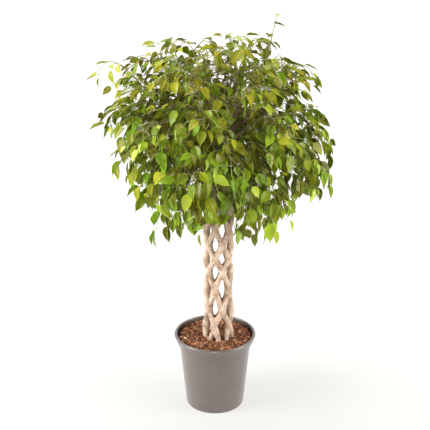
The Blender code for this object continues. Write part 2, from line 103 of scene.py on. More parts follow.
TWIG_RADIUS = 0.0032
TWIG_TIP_RADIUS = 0.0018
TWIG_SIDES = 3
SIDE_TWIG_RADIUS = 0.0024
SIDE_TWIG_REACH = (0.075, 0.115)
LEAF_LENGTH = 0.067
LEAF_WIDTH = 0.043
STALK_LENGTH = 0.018
LEAF_SPREAD = 0.18
SMALLER_ABOVE = 0.22
LEAF_ARCH = 0.10
LEAF_PLACES = (0.28, 0.52, 0.76)
BOUGH_POINTS = 7
FORK_POINTS = 4
TWIG_POINTS = 6
SIDE_TWIG_POINTS = 3
SIDE_LEAF_PLACES = (0.55,)
SHOOT_LEAF_PLACES = (0.20, 0.36, 0.52, 0.68, 0.84)
STALK_START = 0.0045
CLEARANCE = 0.0008
TWIG_SKIP = 0.006
HIGHEST_HANG = 0.12
TRIES = 14
SEED = 7
SHOOT_BASE = np.array((0.160, 0.030, 1.275))
SHOOT_TIP = np.array((0.212, 0.000, 1.522))
LONG_TIPS = np.array((
    (-0.205, -0.050, 1.435),
    (-0.425, -0.030, 1.330),
    (-0.380, -0.020, 1.150),
    (0.350, 0.020, 1.330),
    (0.410, -0.020, 1.080),
    (-0.210, -0.160, 0.800),
    (0.190, -0.190, 0.810),
))

# What the looks add
POT_SEGMENTS = 144
SOIL_RINGS = 44
BARK_VOXEL = 0.0025
TWIG_FACETS = 6
BOUGH_FACETS = 10
CHIP_COUNT = 1250
FIBRE_COUNT = 150
PALE_CHIPS = 0.05
SOIL_TINT = 0.10
FIBRE_TINT = 0.97
FIBRE_RADIUS = 0.00035
EXTRA_PLACES = (0.16, 0.30, 0.46, 0.62, 0.78, 0.90)
FILLER_PLACES = (0.34, 0.52, 0.68, 0.82, 0.92)
BOUGH_PLACES = (0.30, 0.45, 0.60, 0.74, 0.87)
LEAF_STEP = 0.022
MIDRIB_DEPTH = 0.0006
YELLOW_SHARE = 0.012
YELLOW_TINT = 0.93
TWIG_STEP = 0.009
BUD_LENGTH = 0.009
EXTRA_SIZES = (0.52, 1.06)
SIGHT_SLOPE = 0.345
LATTICE_WINDOW = (0.060, 0.766)
FORK_WINDOW = (-0.072, 0.922)
FORK_WINDOW_HALF = (0.034, 0.048)
LOOSE_BELOW = 0.91
LOOSE_SPACING = 0.05
LOOSE_LIMIT = 0.32
LOOSE_SEED = 3170
TIP_REACH = 0.450
OUTLINE_REACH = 0.430
OUTLINE_RISE = 0.395
OUTLINE_FALL = 0.315
OUTLINE_POWER = 2.3
FILLERS = 66
FILLER_SIZES = (0.80, 0.97)
INNER = 66
INNER_POLAR = math.radians(95)
INNER_SIZES = (0.40, 0.80)
SKIRT = 12
SKIRT_REACH = (0.075, 0.170)
SKIRT_HEIGHTS = (0.800, 0.870)
HEM = 14
HEM_REACH = (0.150, 0.270)
HEM_HEIGHTS = (0.795, 0.880)
UPPER = 58
UPPER_POLAR = math.radians(64)
UPPER_SIZES = (0.60, 0.99)
FILLER_RADIUS = 0.0024
SPRIG_RADIUS = 0.0017
SPRIG_REACH = 0.105
SPRIG_SHORTENS = 0.045
TWIG_END_RADIUS = 0.0010
SPRIG_THICK = (0.0016, 0.0008, 5)
HUNG_THICK = (0.0020, 0.0010, 7)
FILLER_THICK = (0.0022, 0.0010, 7)
HUNG_SKIP = 0.012
FILLER_SKIP = 0.011
BOUGH_SKIP = 0.013
CANDIDATES = 14
EXTRA_TRIES = 7
EXTRA_CLEARANCE = 0.0005
MOST_SHAPES = 8000
FAR_OFF = 99.0


# Vectors and noise


def unit(vector):
    return vector / np.linalg.norm(vector)


def units(vectors):
    """Each vector divided by its own length."""
    return vectors / np.linalg.norm(vectors, axis=-1, keepdims=True)


def square_to(vector, axis):
    """The part of a vector that is square to an axis, at unit length."""
    return unit(vector - axis * np.dot(vector, axis))


def level_way(azimuth):
    """The level direction at an azimuth."""
    return np.array((math.cos(azimuth), math.sin(azimuth), 0.0))


def level_side(way):
    """The level direction square to a way."""
    return unit(np.cross(way, UP) + 1e-6)


def bezier(p0, p1, p2, p3, count):
    """A cubic curve: its four points weighted by the Bernstein terms, at equal steps of the parameter."""
    t = np.linspace(0, 1, count)[:, None]
    s = 1 - t
    return s**3 * p0 + 3 * s**2 * t * p1 + 3 * s * t**2 * p2 + t**3 * p3


def point_and_way(curve, share):
    """The point of a curve at a share of its parameter, and the direction in which it goes on there."""
    p0, p1, p2, p3 = curve
    t, s = share, 1 - share
    point = s**3 * p0 + 3 * s**2 * t * p1 + 3 * s * t**2 * p2 + t**3 * p3
    way = s**2 * (p1 - p0) + 2 * s * t * (p2 - p1) + t**2 * (p3 - p2)
    return point, unit(way)


def points_at(curve, shares):
    return np.array([point_and_way(curve, share)[0] for share in shares])


def lumps(points, size, seed=0):
    """Smooth noise from -1 to 1: hashed values on a cubic lattice of a size, blended with eased weights."""
    at = np.asarray(points) / size
    cell = np.floor(at).astype(np.int64)
    part = at - cell
    part = part * part * (3 - 2 * part)
    total = np.zeros(at.shape[:-1])
    for corner in np.ndindex(2, 2, 2):
        x, y, z = np.moveaxis(cell + corner, -1, 0)
        code = (x * 73856093) ^ (y * 19349663) ^ (z * 83492791) ^ (seed * 40503551)
        code = (code ^ (code >> 13)) * 1274126177
        value = ((code ^ (code >> 16)) & 65535) / 32767.5 - 1
        total += value * np.prod(np.where(corner, part, 1 - part), axis=-1)
    return total


# The plan that the solids follow


def rings_along(path, radii, sides, first=None, last=None, side=None):
    """A polygon carried along a path with least twist: centre + radius (cos a side + sin a other)."""
    tangents = np.gradient(path, axis=0)
    if first is not None:
        tangents[0] = first
    if last is not None:
        tangents[-1] = last
    tangents /= np.linalg.norm(tangents, axis=1)[:, None]
    if side is None:
        side = np.cross(tangents[0], (0.31, 0.93, 0.19))
    angles = np.arange(sides) * TAU / sides
    rings = []
    for centre, tangent, radius in zip(path, tangents, radii):
        side = square_to(side, tangent)
        other = np.cross(tangent, side)
        ring = np.outer(np.cos(angles), side) + np.outer(np.sin(angles), other)
        rings.append(centre + radius * ring)
    return np.array(rings)


def closed_strip(rings, point=None):
    """Points and faces of a closed strip through the rings. It ends flat, or in a point if one is given."""
    count, sides, _ = rings.shape
    points = rings.reshape(-1, 3)
    faces = [tuple(reversed(range(sides)))]
    for start in range(0, (count - 1) * sides, sides):
        for j in range(sides):
            k = (j + 1) % sides
            faces.append((start + j, start + k, start + k + sides, start + j + sides))
    last = (count - 1) * sides
    if point is None:
        faces.append(tuple(range(last, last + sides)))
    else:
        points = np.vstack((points, point))
        faces += [(last + j, last + (j + 1) % sides, last + sides) for j in range(sides)]
    return points, faces


def stem_list():
    """(hand, angle at the first crossing) of each stem: five turn one way and five the other."""
    steps = [FIRST_CROSSING + i * TAU / STEMS_EACH_WAY for i in range(STEMS_EACH_WAY)]
    return [(hand, step) for step in steps for hand in (1, -1)]


def turn_at(z):
    """How far a stem has turned at each height: half the angle between stems for each crossing, eased."""
    steps = np.arange(len(CROSSING_HEIGHTS)) * math.pi / STEMS_EACH_WAY
    spread = np.array((-0.016, -0.008, 0.0, 0.008, 0.016))
    return np.mean(np.interp(np.add.outer(z, spread), CROSSING_HEIGHTS, steps), axis=-1)


def stem_radius(z):
    """A stem's radius at each height: a squared cosine swells each graft, and it tapers at the soil."""
    above = np.maximum(z - STEM_LEAVES_SOIL, 0)
    swelling = GRAFT_SWELLING * np.cos(turn_at(z) * STEMS_EACH_WAY) ** 2 * (above > 0)
    taper = FOOT_TAPER * np.exp(-above / 0.02)
    return (STEM_RADIUS - 0.0015 * above) * (1 - GRAFT_SWELLING / 2 + swelling - taper)


def lattice_points(hand, first, z):
    """The middle of a stem at each height: a helix on a cylinder, raised in front and lowered behind.

    It weaves out and in by a cosine, so that it passes over one neighbour and under the next.
    """
    turn = turn_at(np.maximum(z, STEM_LEAVES_SOIL))
    angle = first + hand * turn
    radius = LATTICE_RADIUS + FOOT_SPREAD * np.exp(-np.maximum(z - STEM_LEAVES_SOIL, 0) / 0.03)
    radius = radius + hand * WEAVE * np.cos(turn * STEMS_EACH_WAY)
    y = -radius * np.cos(angle)
    inside = np.minimum(z - STEM_LEAVES_SOIL, LATTICE_TOP - z) / SLOPE_FADES
    raised = -LATTICE_SLOPE * y * np.clip(inside, 0, 1)
    return np.stack((TRUNK_X + radius * np.sin(angle), y, z + raised), axis=-1)


def stem_heights():
    """The heights of a plain stem's rings: its foot, each crossing and halfway between."""
    marks = [STEM_FOOT, STEM_LEAVES_SOIL]
    seen = [z for z in CROSSING_HEIGHTS if STEM_LEAVES_SOIL < z < LATTICE_TOP]
    for low, high in zip(seen, [*seen[1:], LATTICE_TOP]):
        marks += [low, (low + high) / 2]
    return np.array([*marks, LATTICE_TOP])


def crown_point(azimuth, polar, reach, rise, shoulder=1.0):
    """A point on a flattened ball round the crown's centre, squarer where the shoulder is under 1."""
    outward = level_way(azimuth)
    across = reach * math.sin(polar) ** shoulder
    height = math.copysign(rise * abs(math.cos(polar)) ** shoulder, math.cos(polar))
    shift = LOWER_SHIFT * min(1, max(0, -height / SHIFT_DEPTH))
    return CROWN_CENTRE + across * outward + np.array((shift, 0.0, height))


def outline_share(points):
    """0 in the crown's middle and 1 on its outline, a squarish ball: across^p + height^p, each as a share."""
    below = CROWN_CENTRE[2] - points[..., 2]
    shift = LOWER_SHIFT * np.clip(below / SHIFT_DEPTH, 0, 1)
    across = np.hypot(points[..., 0] - CROWN_CENTRE[0] - shift, points[..., 1]) / OUTLINE_REACH
    height = np.abs(below) / np.where(below > 0, OUTLINE_FALL, OUTLINE_RISE)
    return across**OUTLINE_POWER + height**OUTLINE_POWER


def spray_plan():
    """For each spray, in order of azimuth: where it leaves its bough, in which direction, and its tip."""
    rng = np.random.default_rng(SEED)
    plan = []
    for i in range(SPRAYS):
        polar = math.acos(1 - (i + 0.5) / SPRAYS * (1 - math.cos(LOWEST_POLAR)))
        azimuth = (i * GOLDEN_ANGLE + rng.uniform(-LOOSE_TURN, LOOSE_TURN)) % TAU
        longer = rng.uniform(*LENGTH_SPREAD)
        outward = level_way(azimuth)
        steep = BASE_LIFT * polar
        start = crown_point(azimuth, steep, BASE_REACH, BASE_RISE)
        heading = unit(outward * (0.3 + 0.7 * math.sin(steep)) + UP * (0.35 + 0.75 * math.cos(steep)))
        rise = CROWN_RISE if polar < math.pi / 2 else CROWN_FALL
        tip = crown_point(azimuth, polar, CROWN_REACH * longer, rise * longer, CROWN_SHOULDER)
        plan.append((azimuth, polar, start, heading, tip))
    for tip in LONG_TIPS:
        nearest = min(range(SPRAYS), key=lambda i: np.linalg.norm(plan[i][4] - tip))
        plan[nearest] = (*plan[nearest][:4], tip)
    return sorted(plan, key=lambda spray: spray[0])


def bough_plan():
    """The stems' own boughs, the boughs that fork off them, and the sprays in the order they are carried.

    A stem is (hand, first angle, curve of its bough, end heading). A fork is (curve, points, end heading).
    """
    sprays = spray_plan()
    ends = np.linspace(0, len(sprays), 2 * STEMS_EACH_WAY + 1).round().astype(int)
    tops = []
    for hand, first in stem_list():
        below, top = lattice_points(hand, first, np.array((LATTICE_TOP - 0.012, LATTICE_TOP)))
        azimuth = math.atan2(top[1], top[0] - TRUNK_X) % TAU
        tops.append((azimuth, hand, first, top, unit(top - below)))
    tops.sort(key=lambda entry: entry[0])
    stems = []
    forks = []
    carried = []
    for k, (_, hand, first, top, rising) in enumerate(tops):
        group = sorted(sprays[ends[k] : ends[k + 1]], key=lambda spray: spray[1])
        main = group[0]
        outward = unit(top - np.array((TRUNK_X, 0.0, top[2])))
        curve = (top, top + 0.06 * unit(rising + 0.35 * outward), main[2] - 0.12 * main[3], main[2])
        bough = bezier(*curve, BOUGH_POINTS)
        stems.append((hand, first, curve, main[3]))
        carried.append(main)
        for spray, place in zip(group[1:], (4, 3, 2)):
            root = bough[place]
            along = unit(bough[place + 1] - bough[place])
            bend = 0.35 * np.linalg.norm(spray[2] - root)
            curve = (root, root + bend * along, spray[2] - bend * spray[3], spray[2])
            forks.append((curve, FORK_POINTS, spray[3]))
            carried.append(spray)
    boughs = [bezier(*stem[2], BOUGH_POINTS) for stem in stems]
    root = min(boughs, key=lambda path: np.linalg.norm(path[-2] - SHOOT_BASE))[-3]
    heading = unit(SHOOT_TIP - SHOOT_BASE)
    curve = (root, root + 0.06 * UP, SHOOT_BASE - 0.06 * heading, SHOOT_BASE)
    forks.append((curve, FORK_POINTS + 1, heading))
    return stems, forks, carried


def leaf_strip(root, stalk, hang, face, size, spare):
    """A plain leaf with some thickness to spare: a thin stalk, then an arched blade, thickest at its keel."""
    length = LEAF_LENGTH * size
    face = square_to(face, hang)
    across = np.cross(face, hang)
    neck = root + stalk * STALK_LENGTH
    rings = []
    for share, along, half, above, below in (
        (None, stalk, 0.0005, 0.0003, 0.0005),
        (0, unit(stalk + hang), 0.0009, 0.0005, 0.0009),
        (0.34, hang, 0.5 * LEAF_WIDTH * size, 0.0004, 0.0008),
        (0.70, hang, 0.33 * LEAF_WIDTH * size, 0.0003, 0.0008),
    ):
        side = square_to(across, along)
        normal = np.cross(along, side)
        if share is None:
            centre = root + stalk * STALK_START
        else:
            centre = neck + length * (share * hang - LEAF_ARCH * share**2 * face)
        edge = side * (half + spare)
        upper = centre + normal * (above + spare)
        rings.append((upper + edge, upper - edge, centre - normal * (below + spare)))
    point = neck + (length + 4 * spare) * hang - length * LEAF_ARCH * face
    return closed_strip(np.array(rings), point)


class Clearing:
    """Everything placed so far, to keep each new twig and leaf clear of it."""

    def __init__(self):
        self.centres = np.full((MOST_SHAPES, 3), FAR_OFF)
        self.reaches = np.zeros(MOST_SHAPES)
        self.trees = []

    def add(self, points, faces):
        low, high = points.min(axis=0), points.max(axis=0)
        self.centres[len(self.trees)] = (low + high) / 2
        self.reaches[len(self.trees)] = np.linalg.norm(high - low) / 2
        self.trees.append(BVHTree.FromPolygons(points.tolist(), faces))

    def is_clear(self, points, faces):
        low, high = points.min(axis=0), points.max(axis=0)
        away = np.linalg.norm(self.centres - (low + high) / 2, axis=1)
        near = np.nonzero(away < self.reaches + np.linalg.norm(high - low) / 2)[0]
        tree = BVHTree.FromPolygons(points.tolist(), faces)
        return not any(self.trees[i].overlap(tree) for i in near)

    def takes(self, strip, spare, *shape):
        """Adds a shape's strip if it is clear with some thickness to spare, and says whether it was."""
        clear = self.is_clear(*strip(*shape, spare))
        if clear:
            self.add(*strip(*shape, 0.0))
        return clear


def twig_strip(path, radius, heading, spare):
    """A plain twig: its radius falls evenly from its root to its tip."""
    radii = np.linspace(radius, TWIG_TIP_RADIUS, len(path))
    return closed_strip(rings_along(path, radii + spare, TWIG_SIDES, first=heading))


def fine_strip(path, radii, spare):
    return closed_strip(rings_along(path, radii + spare, TWIG_SIDES))


def main_twig(spray, rng, placed):
    """The curve of a spray's own twig: along its heading, then drooping to its tip, clear of all others."""
    azimuth, polar, start, heading, tip = spray
    outward = level_way(azimuth)
    root = start + heading * GAP
    for attempt in range(3 * TRIES):
        goal = tip + rng.normal(0, 0.006 + 0.002 * attempt, 3)
        reach = np.linalg.norm(goal - root)
        droop = 0.10 + 0.35 * math.sin(polar) ** 2
        trail = 0.30 * math.cos(0.7 * polar)
        over = goal + reach * (droop * UP - trail * outward)
        curve = (root, root + 0.42 * reach * heading, over, goal)
        if placed.takes(twig_strip, CLEARANCE, bezier(*curve, TWIG_POINTS), TWIG_RADIUS, heading):
            return curve
    raise ValueError("a main twig found no clear way")


def side_twig(path, place, hand, rng, placed):
    """The curve of a short twig off a spray's own: sideways, then drooping. None where there is no room."""
    root = path[place]
    along = unit(path[place + 1] - path[place - 1])
    level = level_side(along)
    for _ in range(TRIES):
        sideways = hand * level * rng.uniform(0.7, 1.0) + 0.35 * rng.normal(0, 1, 3)
        away = unit(0.55 * along + 0.8 * sideways)
        reach = rng.uniform(*SIDE_TWIG_REACH)
        goal = root + reach * away - 0.30 * reach * UP
        curve = (root, root + 0.35 * reach * away, goal + 0.2 * reach * UP, goal)
        free = np.vstack((root + TWIG_SKIP * away, bezier(*curve, SIDE_TWIG_POINTS)[1:]))
        if placed.takes(twig_strip, CLEARANCE, free, SIDE_TWIG_RADIUS, away):
            return curve
    return None


def clear_leaf(root, along, hand, rng, placed, tries=TRIES, spare=CLEARANCE / 2, turned=1.3,
               spread=(1 - LEAF_SPREAD, 1 + LEAF_SPREAD), barred=None):
    """The pose of a leaf that hangs from a twig, on a side of it or at its end, or None if none is clear."""
    outward = unit(root - CROWN_CENTRE + 0.12 * UP)
    level = level_side(along)
    for attempt in range(tries):
        loose = 0.22 + 0.05 * attempt
        stalk = unit(0.5 * along + 0.8 * hand * level + loose * rng.normal(0, 1, 3))
        weight = 0.12 + 0.70 * (1 - max(outward[2], 0)) ** 2
        hang = unit(0.40 * stalk + 0.45 * along - weight * UP + loose * rng.normal(0, 1, 3))
        face = unit(outward + 0.7 * UP + turned * loose * rng.normal(0, 1, 3))
        size = rng.uniform(*spread) * (1 - SMALLER_ABOVE * max(outward[2], 0))
        folded = abs(np.dot(face, hang)) > 0.93 or np.dot(stalk, hang) < -0.5
        if folded or hang[2] > HIGHEST_HANG or (hand == 0 and np.dot(stalk, along) < 0.5):
            continue
        pose = (root, stalk, hang, face, size)
        if barred and barred(pose):
            continue
        if placed.takes(leaf_strip, spare, *pose):
            return pose
    return None


class Spray:
    """One node's twigs, as (curve, radius), and its leaves, as (pose, curve, share along it)."""

    def __init__(self):
        self.twigs = []
        self.leaves = []
        self.plain = 0

    def grow(self, curve, radius, count, places, rng, placed, hand):
        """Adds a twig, with leaves on alternate sides at the given shares of it and one at its end."""
        self.twigs.append((curve, radius))
        path = bezier(*curve, count)
        steps = np.linspace(0, 1, count)
        for share in places:
            root = np.array([np.interp(share, steps, path[:, axis]) for axis in range(3)])
            at = int(share * (count - 1))
            pose = clear_leaf(root, unit(path[at + 1] - path[at]), hand, rng, placed)
            self.leaves.append((pose, curve, share))
            hand = -hand
        pose = clear_leaf(path[-1], unit(path[-1] - path[-2]), 0, rng, placed)
        self.leaves.append((pose, curve, 1.0))
        self.leaves = [leaf for leaf in self.leaves if leaf[0] is not None]
        self.plain = len(self.leaves)


def place_wood(stems, forks, placed):
    """Places the plain stems, each with its own bough, and the forks."""
    heights = stem_heights()
    for hand, first, curve, heading in stems:
        lattice = lattice_points(hand, first, heights)
        thinning = np.linspace(stem_radius(heights[-1]) * 0.95, BOUGH_END_RADIUS, BOUGH_POINTS - 1)
        widths = [*stem_radius(heights), *thinning]
        path = np.vstack((lattice, bezier(*curve, BOUGH_POINTS)[1:]))
        placed.add(*closed_strip(rings_along(path, widths, STEM_SIDES, first=UP, last=heading)))
    for curve, count, heading in forks:
        widths = np.linspace(FORK_RADIUS, BOUGH_END_RADIUS, count)
        placed.add(*closed_strip(rings_along(bezier(*curve, count), widths, BOUGH_SIDES, last=heading)))


def shoot_curve():
    """The curve of the shoot's twig, straight on from its bough and upright at its tip."""
    heading = unit(SHOOT_TIP - SHOOT_BASE)
    root = SHOOT_BASE + heading * GAP
    bend = 0.25 * np.linalg.norm(SHOOT_TIP - root)
    return root, root + bend * heading, SHOOT_TIP - bend * unit(UP + 0.15), SHOOT_TIP


def plain_sprays(carried, placed):
    """The twigs and leaves that the solids have, drawn from the same seed in the same order."""
    rng = np.random.default_rng(SEED + 1)
    curves = [main_twig(spray, rng, placed) for spray in carried]
    forks = []
    for i, curve in enumerate(curves):
        hand = 1 if i % 2 else -1
        path = bezier(*curve, TWIG_POINTS)
        found = [side_twig(path, place, turn, rng, placed) for place, turn in ((2, hand), (3, -hand))]
        forks.append([twig for twig in found if twig is not None])
    sprays = []
    for curve, twigs in zip(curves, forks):
        made = Spray()
        made.grow(curve, TWIG_RADIUS, TWIG_POINTS, LEAF_PLACES, rng, placed, 1)
        for twig in twigs:
            made.grow(twig, SIDE_TWIG_RADIUS, SIDE_TWIG_POINTS, SIDE_LEAF_PLACES, rng, placed, -1)
        sprays.append(made)
    curve = shoot_curve()
    heading = unit(SHOOT_TIP - SHOOT_BASE)
    placed.add(*twig_strip(bezier(*curve, TWIG_POINTS), TWIG_RADIUS, heading, 0.0))
    shoot = Spray()
    shoot.grow(curve, TWIG_RADIUS, TWIG_POINTS, SHOOT_LEAF_PLACES, rng, placed, 1)
    return [*sprays, shoot]


# The twigs and leaves that only the looks have


def finds_room(curve, away, skip, thick, placed):
    """Places a fine twig if it is clear of all else from a short way off its root, and says whether it was.

    thick is its radius at the root and at the end, with even steps between, and the count of its points.
    """
    free = np.vstack((curve[0] + skip * away, bezier(*curve, thick[2])[1:]))
    return placed.takes(fine_strip, EXTRA_CLEARANCE, free, np.linspace(*thick))


def sprig(parent, share, hand, reach, skip, rng, placed):
    """The curve of a fine twig off a parent curve at a share of it, tested clear of all else, or None."""
    root, ahead = point_and_way(parent, share)
    level = level_side(ahead)
    outward = unit(root - CROWN_CENTRE + 0.1 * UP)
    for _ in range(EXTRA_TRIES):
        sideways = hand * level * rng.uniform(0.4, 1.0) + 0.45 * rng.normal(0, 1, 3) + 0.25 * outward
        away = unit(0.5 * ahead + 0.8 * sideways)
        long = reach * rng.uniform(0.8, 1.2)
        fall = 0.30 + 0.35 * max(0.0, -outward[2]) + 0.2 * rng.uniform()
        goal = root + long * away - fall * long * UP
        if outline_share(goal) > rng.uniform(0.75, 1.0):
            continue
        over = goal + long * (0.3 * UP - 0.25 * outward)
        curve = (root, root + 0.35 * long * away, over, goal)
        if finds_room(curve, away, skip, SPRIG_THICK, placed):
            return curve
    return None


def badly_placed(pose):
    """Whether a leaf reaches out too far, or hides the lattice's top, the forks on its left or an opening.

    The height of its middle is carried back to the trunk along the line of sight from in front and above,
    and compared with the two windows. Low in the crown the openings lie where smooth noise over the plane
    of x and that height passes a limit.
    """
    root, stalk, hang, _, size = pose
    middle = root + STALK_LENGTH * stalk + 0.5 * LEAF_LENGTH * size * hang
    tip = middle + 0.5 * LEAF_LENGTH * size * hang
    height = middle[2] + SIGHT_SLOPE * middle[1]
    half, top = LATTICE_WINDOW
    before_lattice = middle[1] < 0 and abs(middle[0] - TRUNK_X) < half and height < top
    from_forks = np.abs((middle[0] - FORK_WINDOW[0], height - FORK_WINDOW[1]))
    round_forks = np.all(from_forks < FORK_WINDOW_HALF)
    if before_lattice or round_forks or max(abs(tip[0]), abs(tip[1]) + 0.02) > TIP_REACH:
        return True
    spot = np.array(((middle[0], 0.0, height),))
    return height < LOOSE_BELOW and lumps(spot, LOOSE_SPACING, LOOSE_SEED)[0] > LOOSE_LIMIT


def fill_leaves(spray, curve, rng, placed, first=0.25):
    """Leaves on alternate sides of a curve, a leaf step apart, and one at its end, where they find room."""
    length = np.linalg.norm(np.diff(bezier(*curve, 9), axis=0), axis=1).sum()
    count = max(2, int(length * (1 - first) / LEAF_STEP))
    hand = 1 if rng.uniform() < 0.5 else -1
    for share in (*np.linspace(first, 0.97, count), 1.0):
        root, ahead = point_and_way(curve, share)
        if share < 1 and outline_share(root) > rng.uniform(0.65, 1.0):
            continue
        pose = clear_leaf(root, ahead, hand if share < 1 else 0, rng, placed, EXTRA_TRIES,
                          EXTRA_CLEARANCE / 2, 3.0, EXTRA_SIZES, badly_placed)
        if pose is not None:
            spray.leaves.append((pose, curve, share))
        hand = -hand


def skirt_twig(turn, reaches, heights, boughs, rng, placed):
    """A twig that hangs round the top of the lattice, off the bough whose lower part is nearest.

    Returns the number of the bough and the twig's curve, or None where it finds no clear way.
    """
    for _ in range(EXTRA_TRIES):
        azimuth = turn + rng.normal(0, 0.2)
        outward = level_way(azimuth)
        goal = np.array((TRUNK_X, 0.0, rng.uniform(*heights))) + rng.uniform(*reaches) * outward
        place = rng.uniform(0.25, 0.6)
        roots = np.array([point_and_way(curve, place)[0] for curve in boughs[:-1]])
        which = int(np.argmin(np.linalg.norm(roots - goal, axis=1)))
        root = roots[which]
        reach = np.linalg.norm(goal - root)
        heading = unit(outward + 0.35 * UP + 0.2 * rng.normal(0, 1, 3))
        curve = (root, root + 0.35 * reach * heading, goal + 0.5 * reach * UP + 0.1 * reach * outward, goal)
        if finds_room(curve, heading, HUNG_SKIP, HUNG_THICK, placed):
            return which, curve
    return None


def filler(tips, lowest, sizes, boughs, rng, placed):
    """A long fine twig to the barest of some drawn places in the crown, off the bough that ends nearest.

    Returns the number of the bough and the twig's curve, or None where it finds no clear way.
    """
    polar = np.arccos(rng.uniform(math.cos(lowest), 0.99, CANDIDATES))
    azimuth = rng.uniform(0, TAU, CANDIDATES)
    size = rng.uniform(*sizes, CANDIDATES)
    rises = size * np.where(polar < math.pi / 2, CROWN_RISE, CROWN_FALL)
    drawn = zip(azimuth, polar, size * CROWN_REACH, rises)
    goals = np.array([crown_point(*one, CROWN_SHOULDER) for one in drawn])
    bare = np.min(np.linalg.norm(goals[:, None] - np.array(tips)[None], axis=2), axis=1)
    goal = goals[np.argmax(bare)]
    tips.append(goal)
    ends = np.array([curve[3] for curve in boughs[:-1]])
    which = int(np.argmin(np.linalg.norm(ends - goal, axis=1)))
    outward = unit(goal - CROWN_CENTRE)
    for _ in range(EXTRA_TRIES):
        root, ahead = point_and_way(boughs[which], rng.uniform(0.55, 0.92))
        heading = unit(0.45 * ahead + 0.7 * outward + 0.35 * UP + 0.2 * rng.normal(0, 1, 3))
        reach = np.linalg.norm(goal - root)
        droop = 0.10 + 0.30 * (1 - max(outward[2], 0))
        over = goal + reach * (droop * UP - 0.2 * outward)
        curve = (root, root + 0.4 * reach * heading, over, goal)
        if finds_room(curve, heading, FILLER_SKIP, FILLER_THICK, placed):
            return which, curve
    return None


def fill_crown(sprays, stems, forks, placed):
    """Fills the crown with twigs and leaves in the order in which each finds its room.

    First come the twigs that hang at the lattice and the fillers where the crown is bare, then sprigs on
    every twig and bough, and leaves on all of them. Twigs for the crown's lower edge and more fillers for
    its upper part come last, each with its sprigs and leaves.
    """
    rng = np.random.default_rng(SEED + 2)
    boughs = carrying_boughs(stems, forks)
    tips = [spray.twigs[0][0][3] for spray in sprays]

    def hung(count, reaches, heights):
        return [skirt_twig(TAU * i / count, reaches, heights, boughs, rng, placed) for i in range(count)]

    def filled(count, known, lowest, sizes):
        return [filler(known, lowest, sizes, boughs, rng, placed) for _ in range(count)]

    def sprigs(curve, places, skip=TWIG_SKIP, reach=SPRIG_REACH, less=SPRIG_SHORTENS):
        turns = [(share, 1 if i % 2 else -1) for i, share in enumerate(places)]
        return [sprig(curve, share, hand, reach - less * share, skip, rng, placed) for share, hand in turns]

    long = [[(spray.twigs[0][0], EXTRA_PLACES)] for spray in sprays[:-1]]
    early = hung(SKIRT, SKIRT_REACH, SKIRT_HEIGHTS)
    early += filled(FILLERS, tips, LOWEST_POLAR, FILLER_SIZES)
    early += filled(INNER, [CROWN_CENTRE], INNER_POLAR, INNER_SIZES)
    for which, curve in filter(None, early):
        sprays[which].twigs.append((curve, FILLER_RADIUS))
        long[which].append((curve, FILLER_PLACES))
    new = []
    for spray, twigs, bough in zip(sprays, long, boughs):
        found = [made for curve, places in twigs for made in sprigs(curve, places)]
        found += sprigs(bough, BOUGH_PLACES, BOUGH_SKIP, 0.10, 0.0)
        for side, _ in spray.twigs[1:3]:
            hand = 1 if rng.uniform() < 0.5 else -1
            found.append(sprig(side, 0.45, hand, 0.06, 0.005, rng, placed))
        new.append([curve for curve in found if curve is not None])
    for spray, found in zip(sprays[:-1], new):
        for curve, _ in list(spray.twigs):
            fill_leaves(spray, curve, rng, placed, first=0.2)
        for curve in found:
            spray.twigs.append((curve, SPRIG_RADIUS))
            fill_leaves(spray, curve, rng, placed)
    late = hung(HEM, HEM_REACH, HEM_HEIGHTS) + filled(UPPER, tips, UPPER_POLAR, UPPER_SIZES)
    for which, curve in filter(None, late):
        found = [made for made in sprigs(curve, FILLER_PLACES) if made is not None]
        for twig, radius in ((curve, FILLER_RADIUS), *((made, SPRIG_RADIUS) for made in found)):
            sprays[which].twigs.append((twig, radius))
            fill_leaves(sprays[which], twig, rng, placed)


def carrying_boughs(stems, forks):
    """The curve of the bough that carries each spray, in the order of the sprays, and the shoot's last."""
    boughs = []
    left = list(forks[:-1])
    for _, _, curve, _ in stems:
        boughs.append(curve)
        path = bezier(*curve, BOUGH_POINTS)
        while left and min(np.linalg.norm(path - left[0][0][0], axis=1)) < 1e-9:
            boughs.append(left.pop(0)[0])
    return [*boughs, forks[-1][0]]


# Meshes from arrays


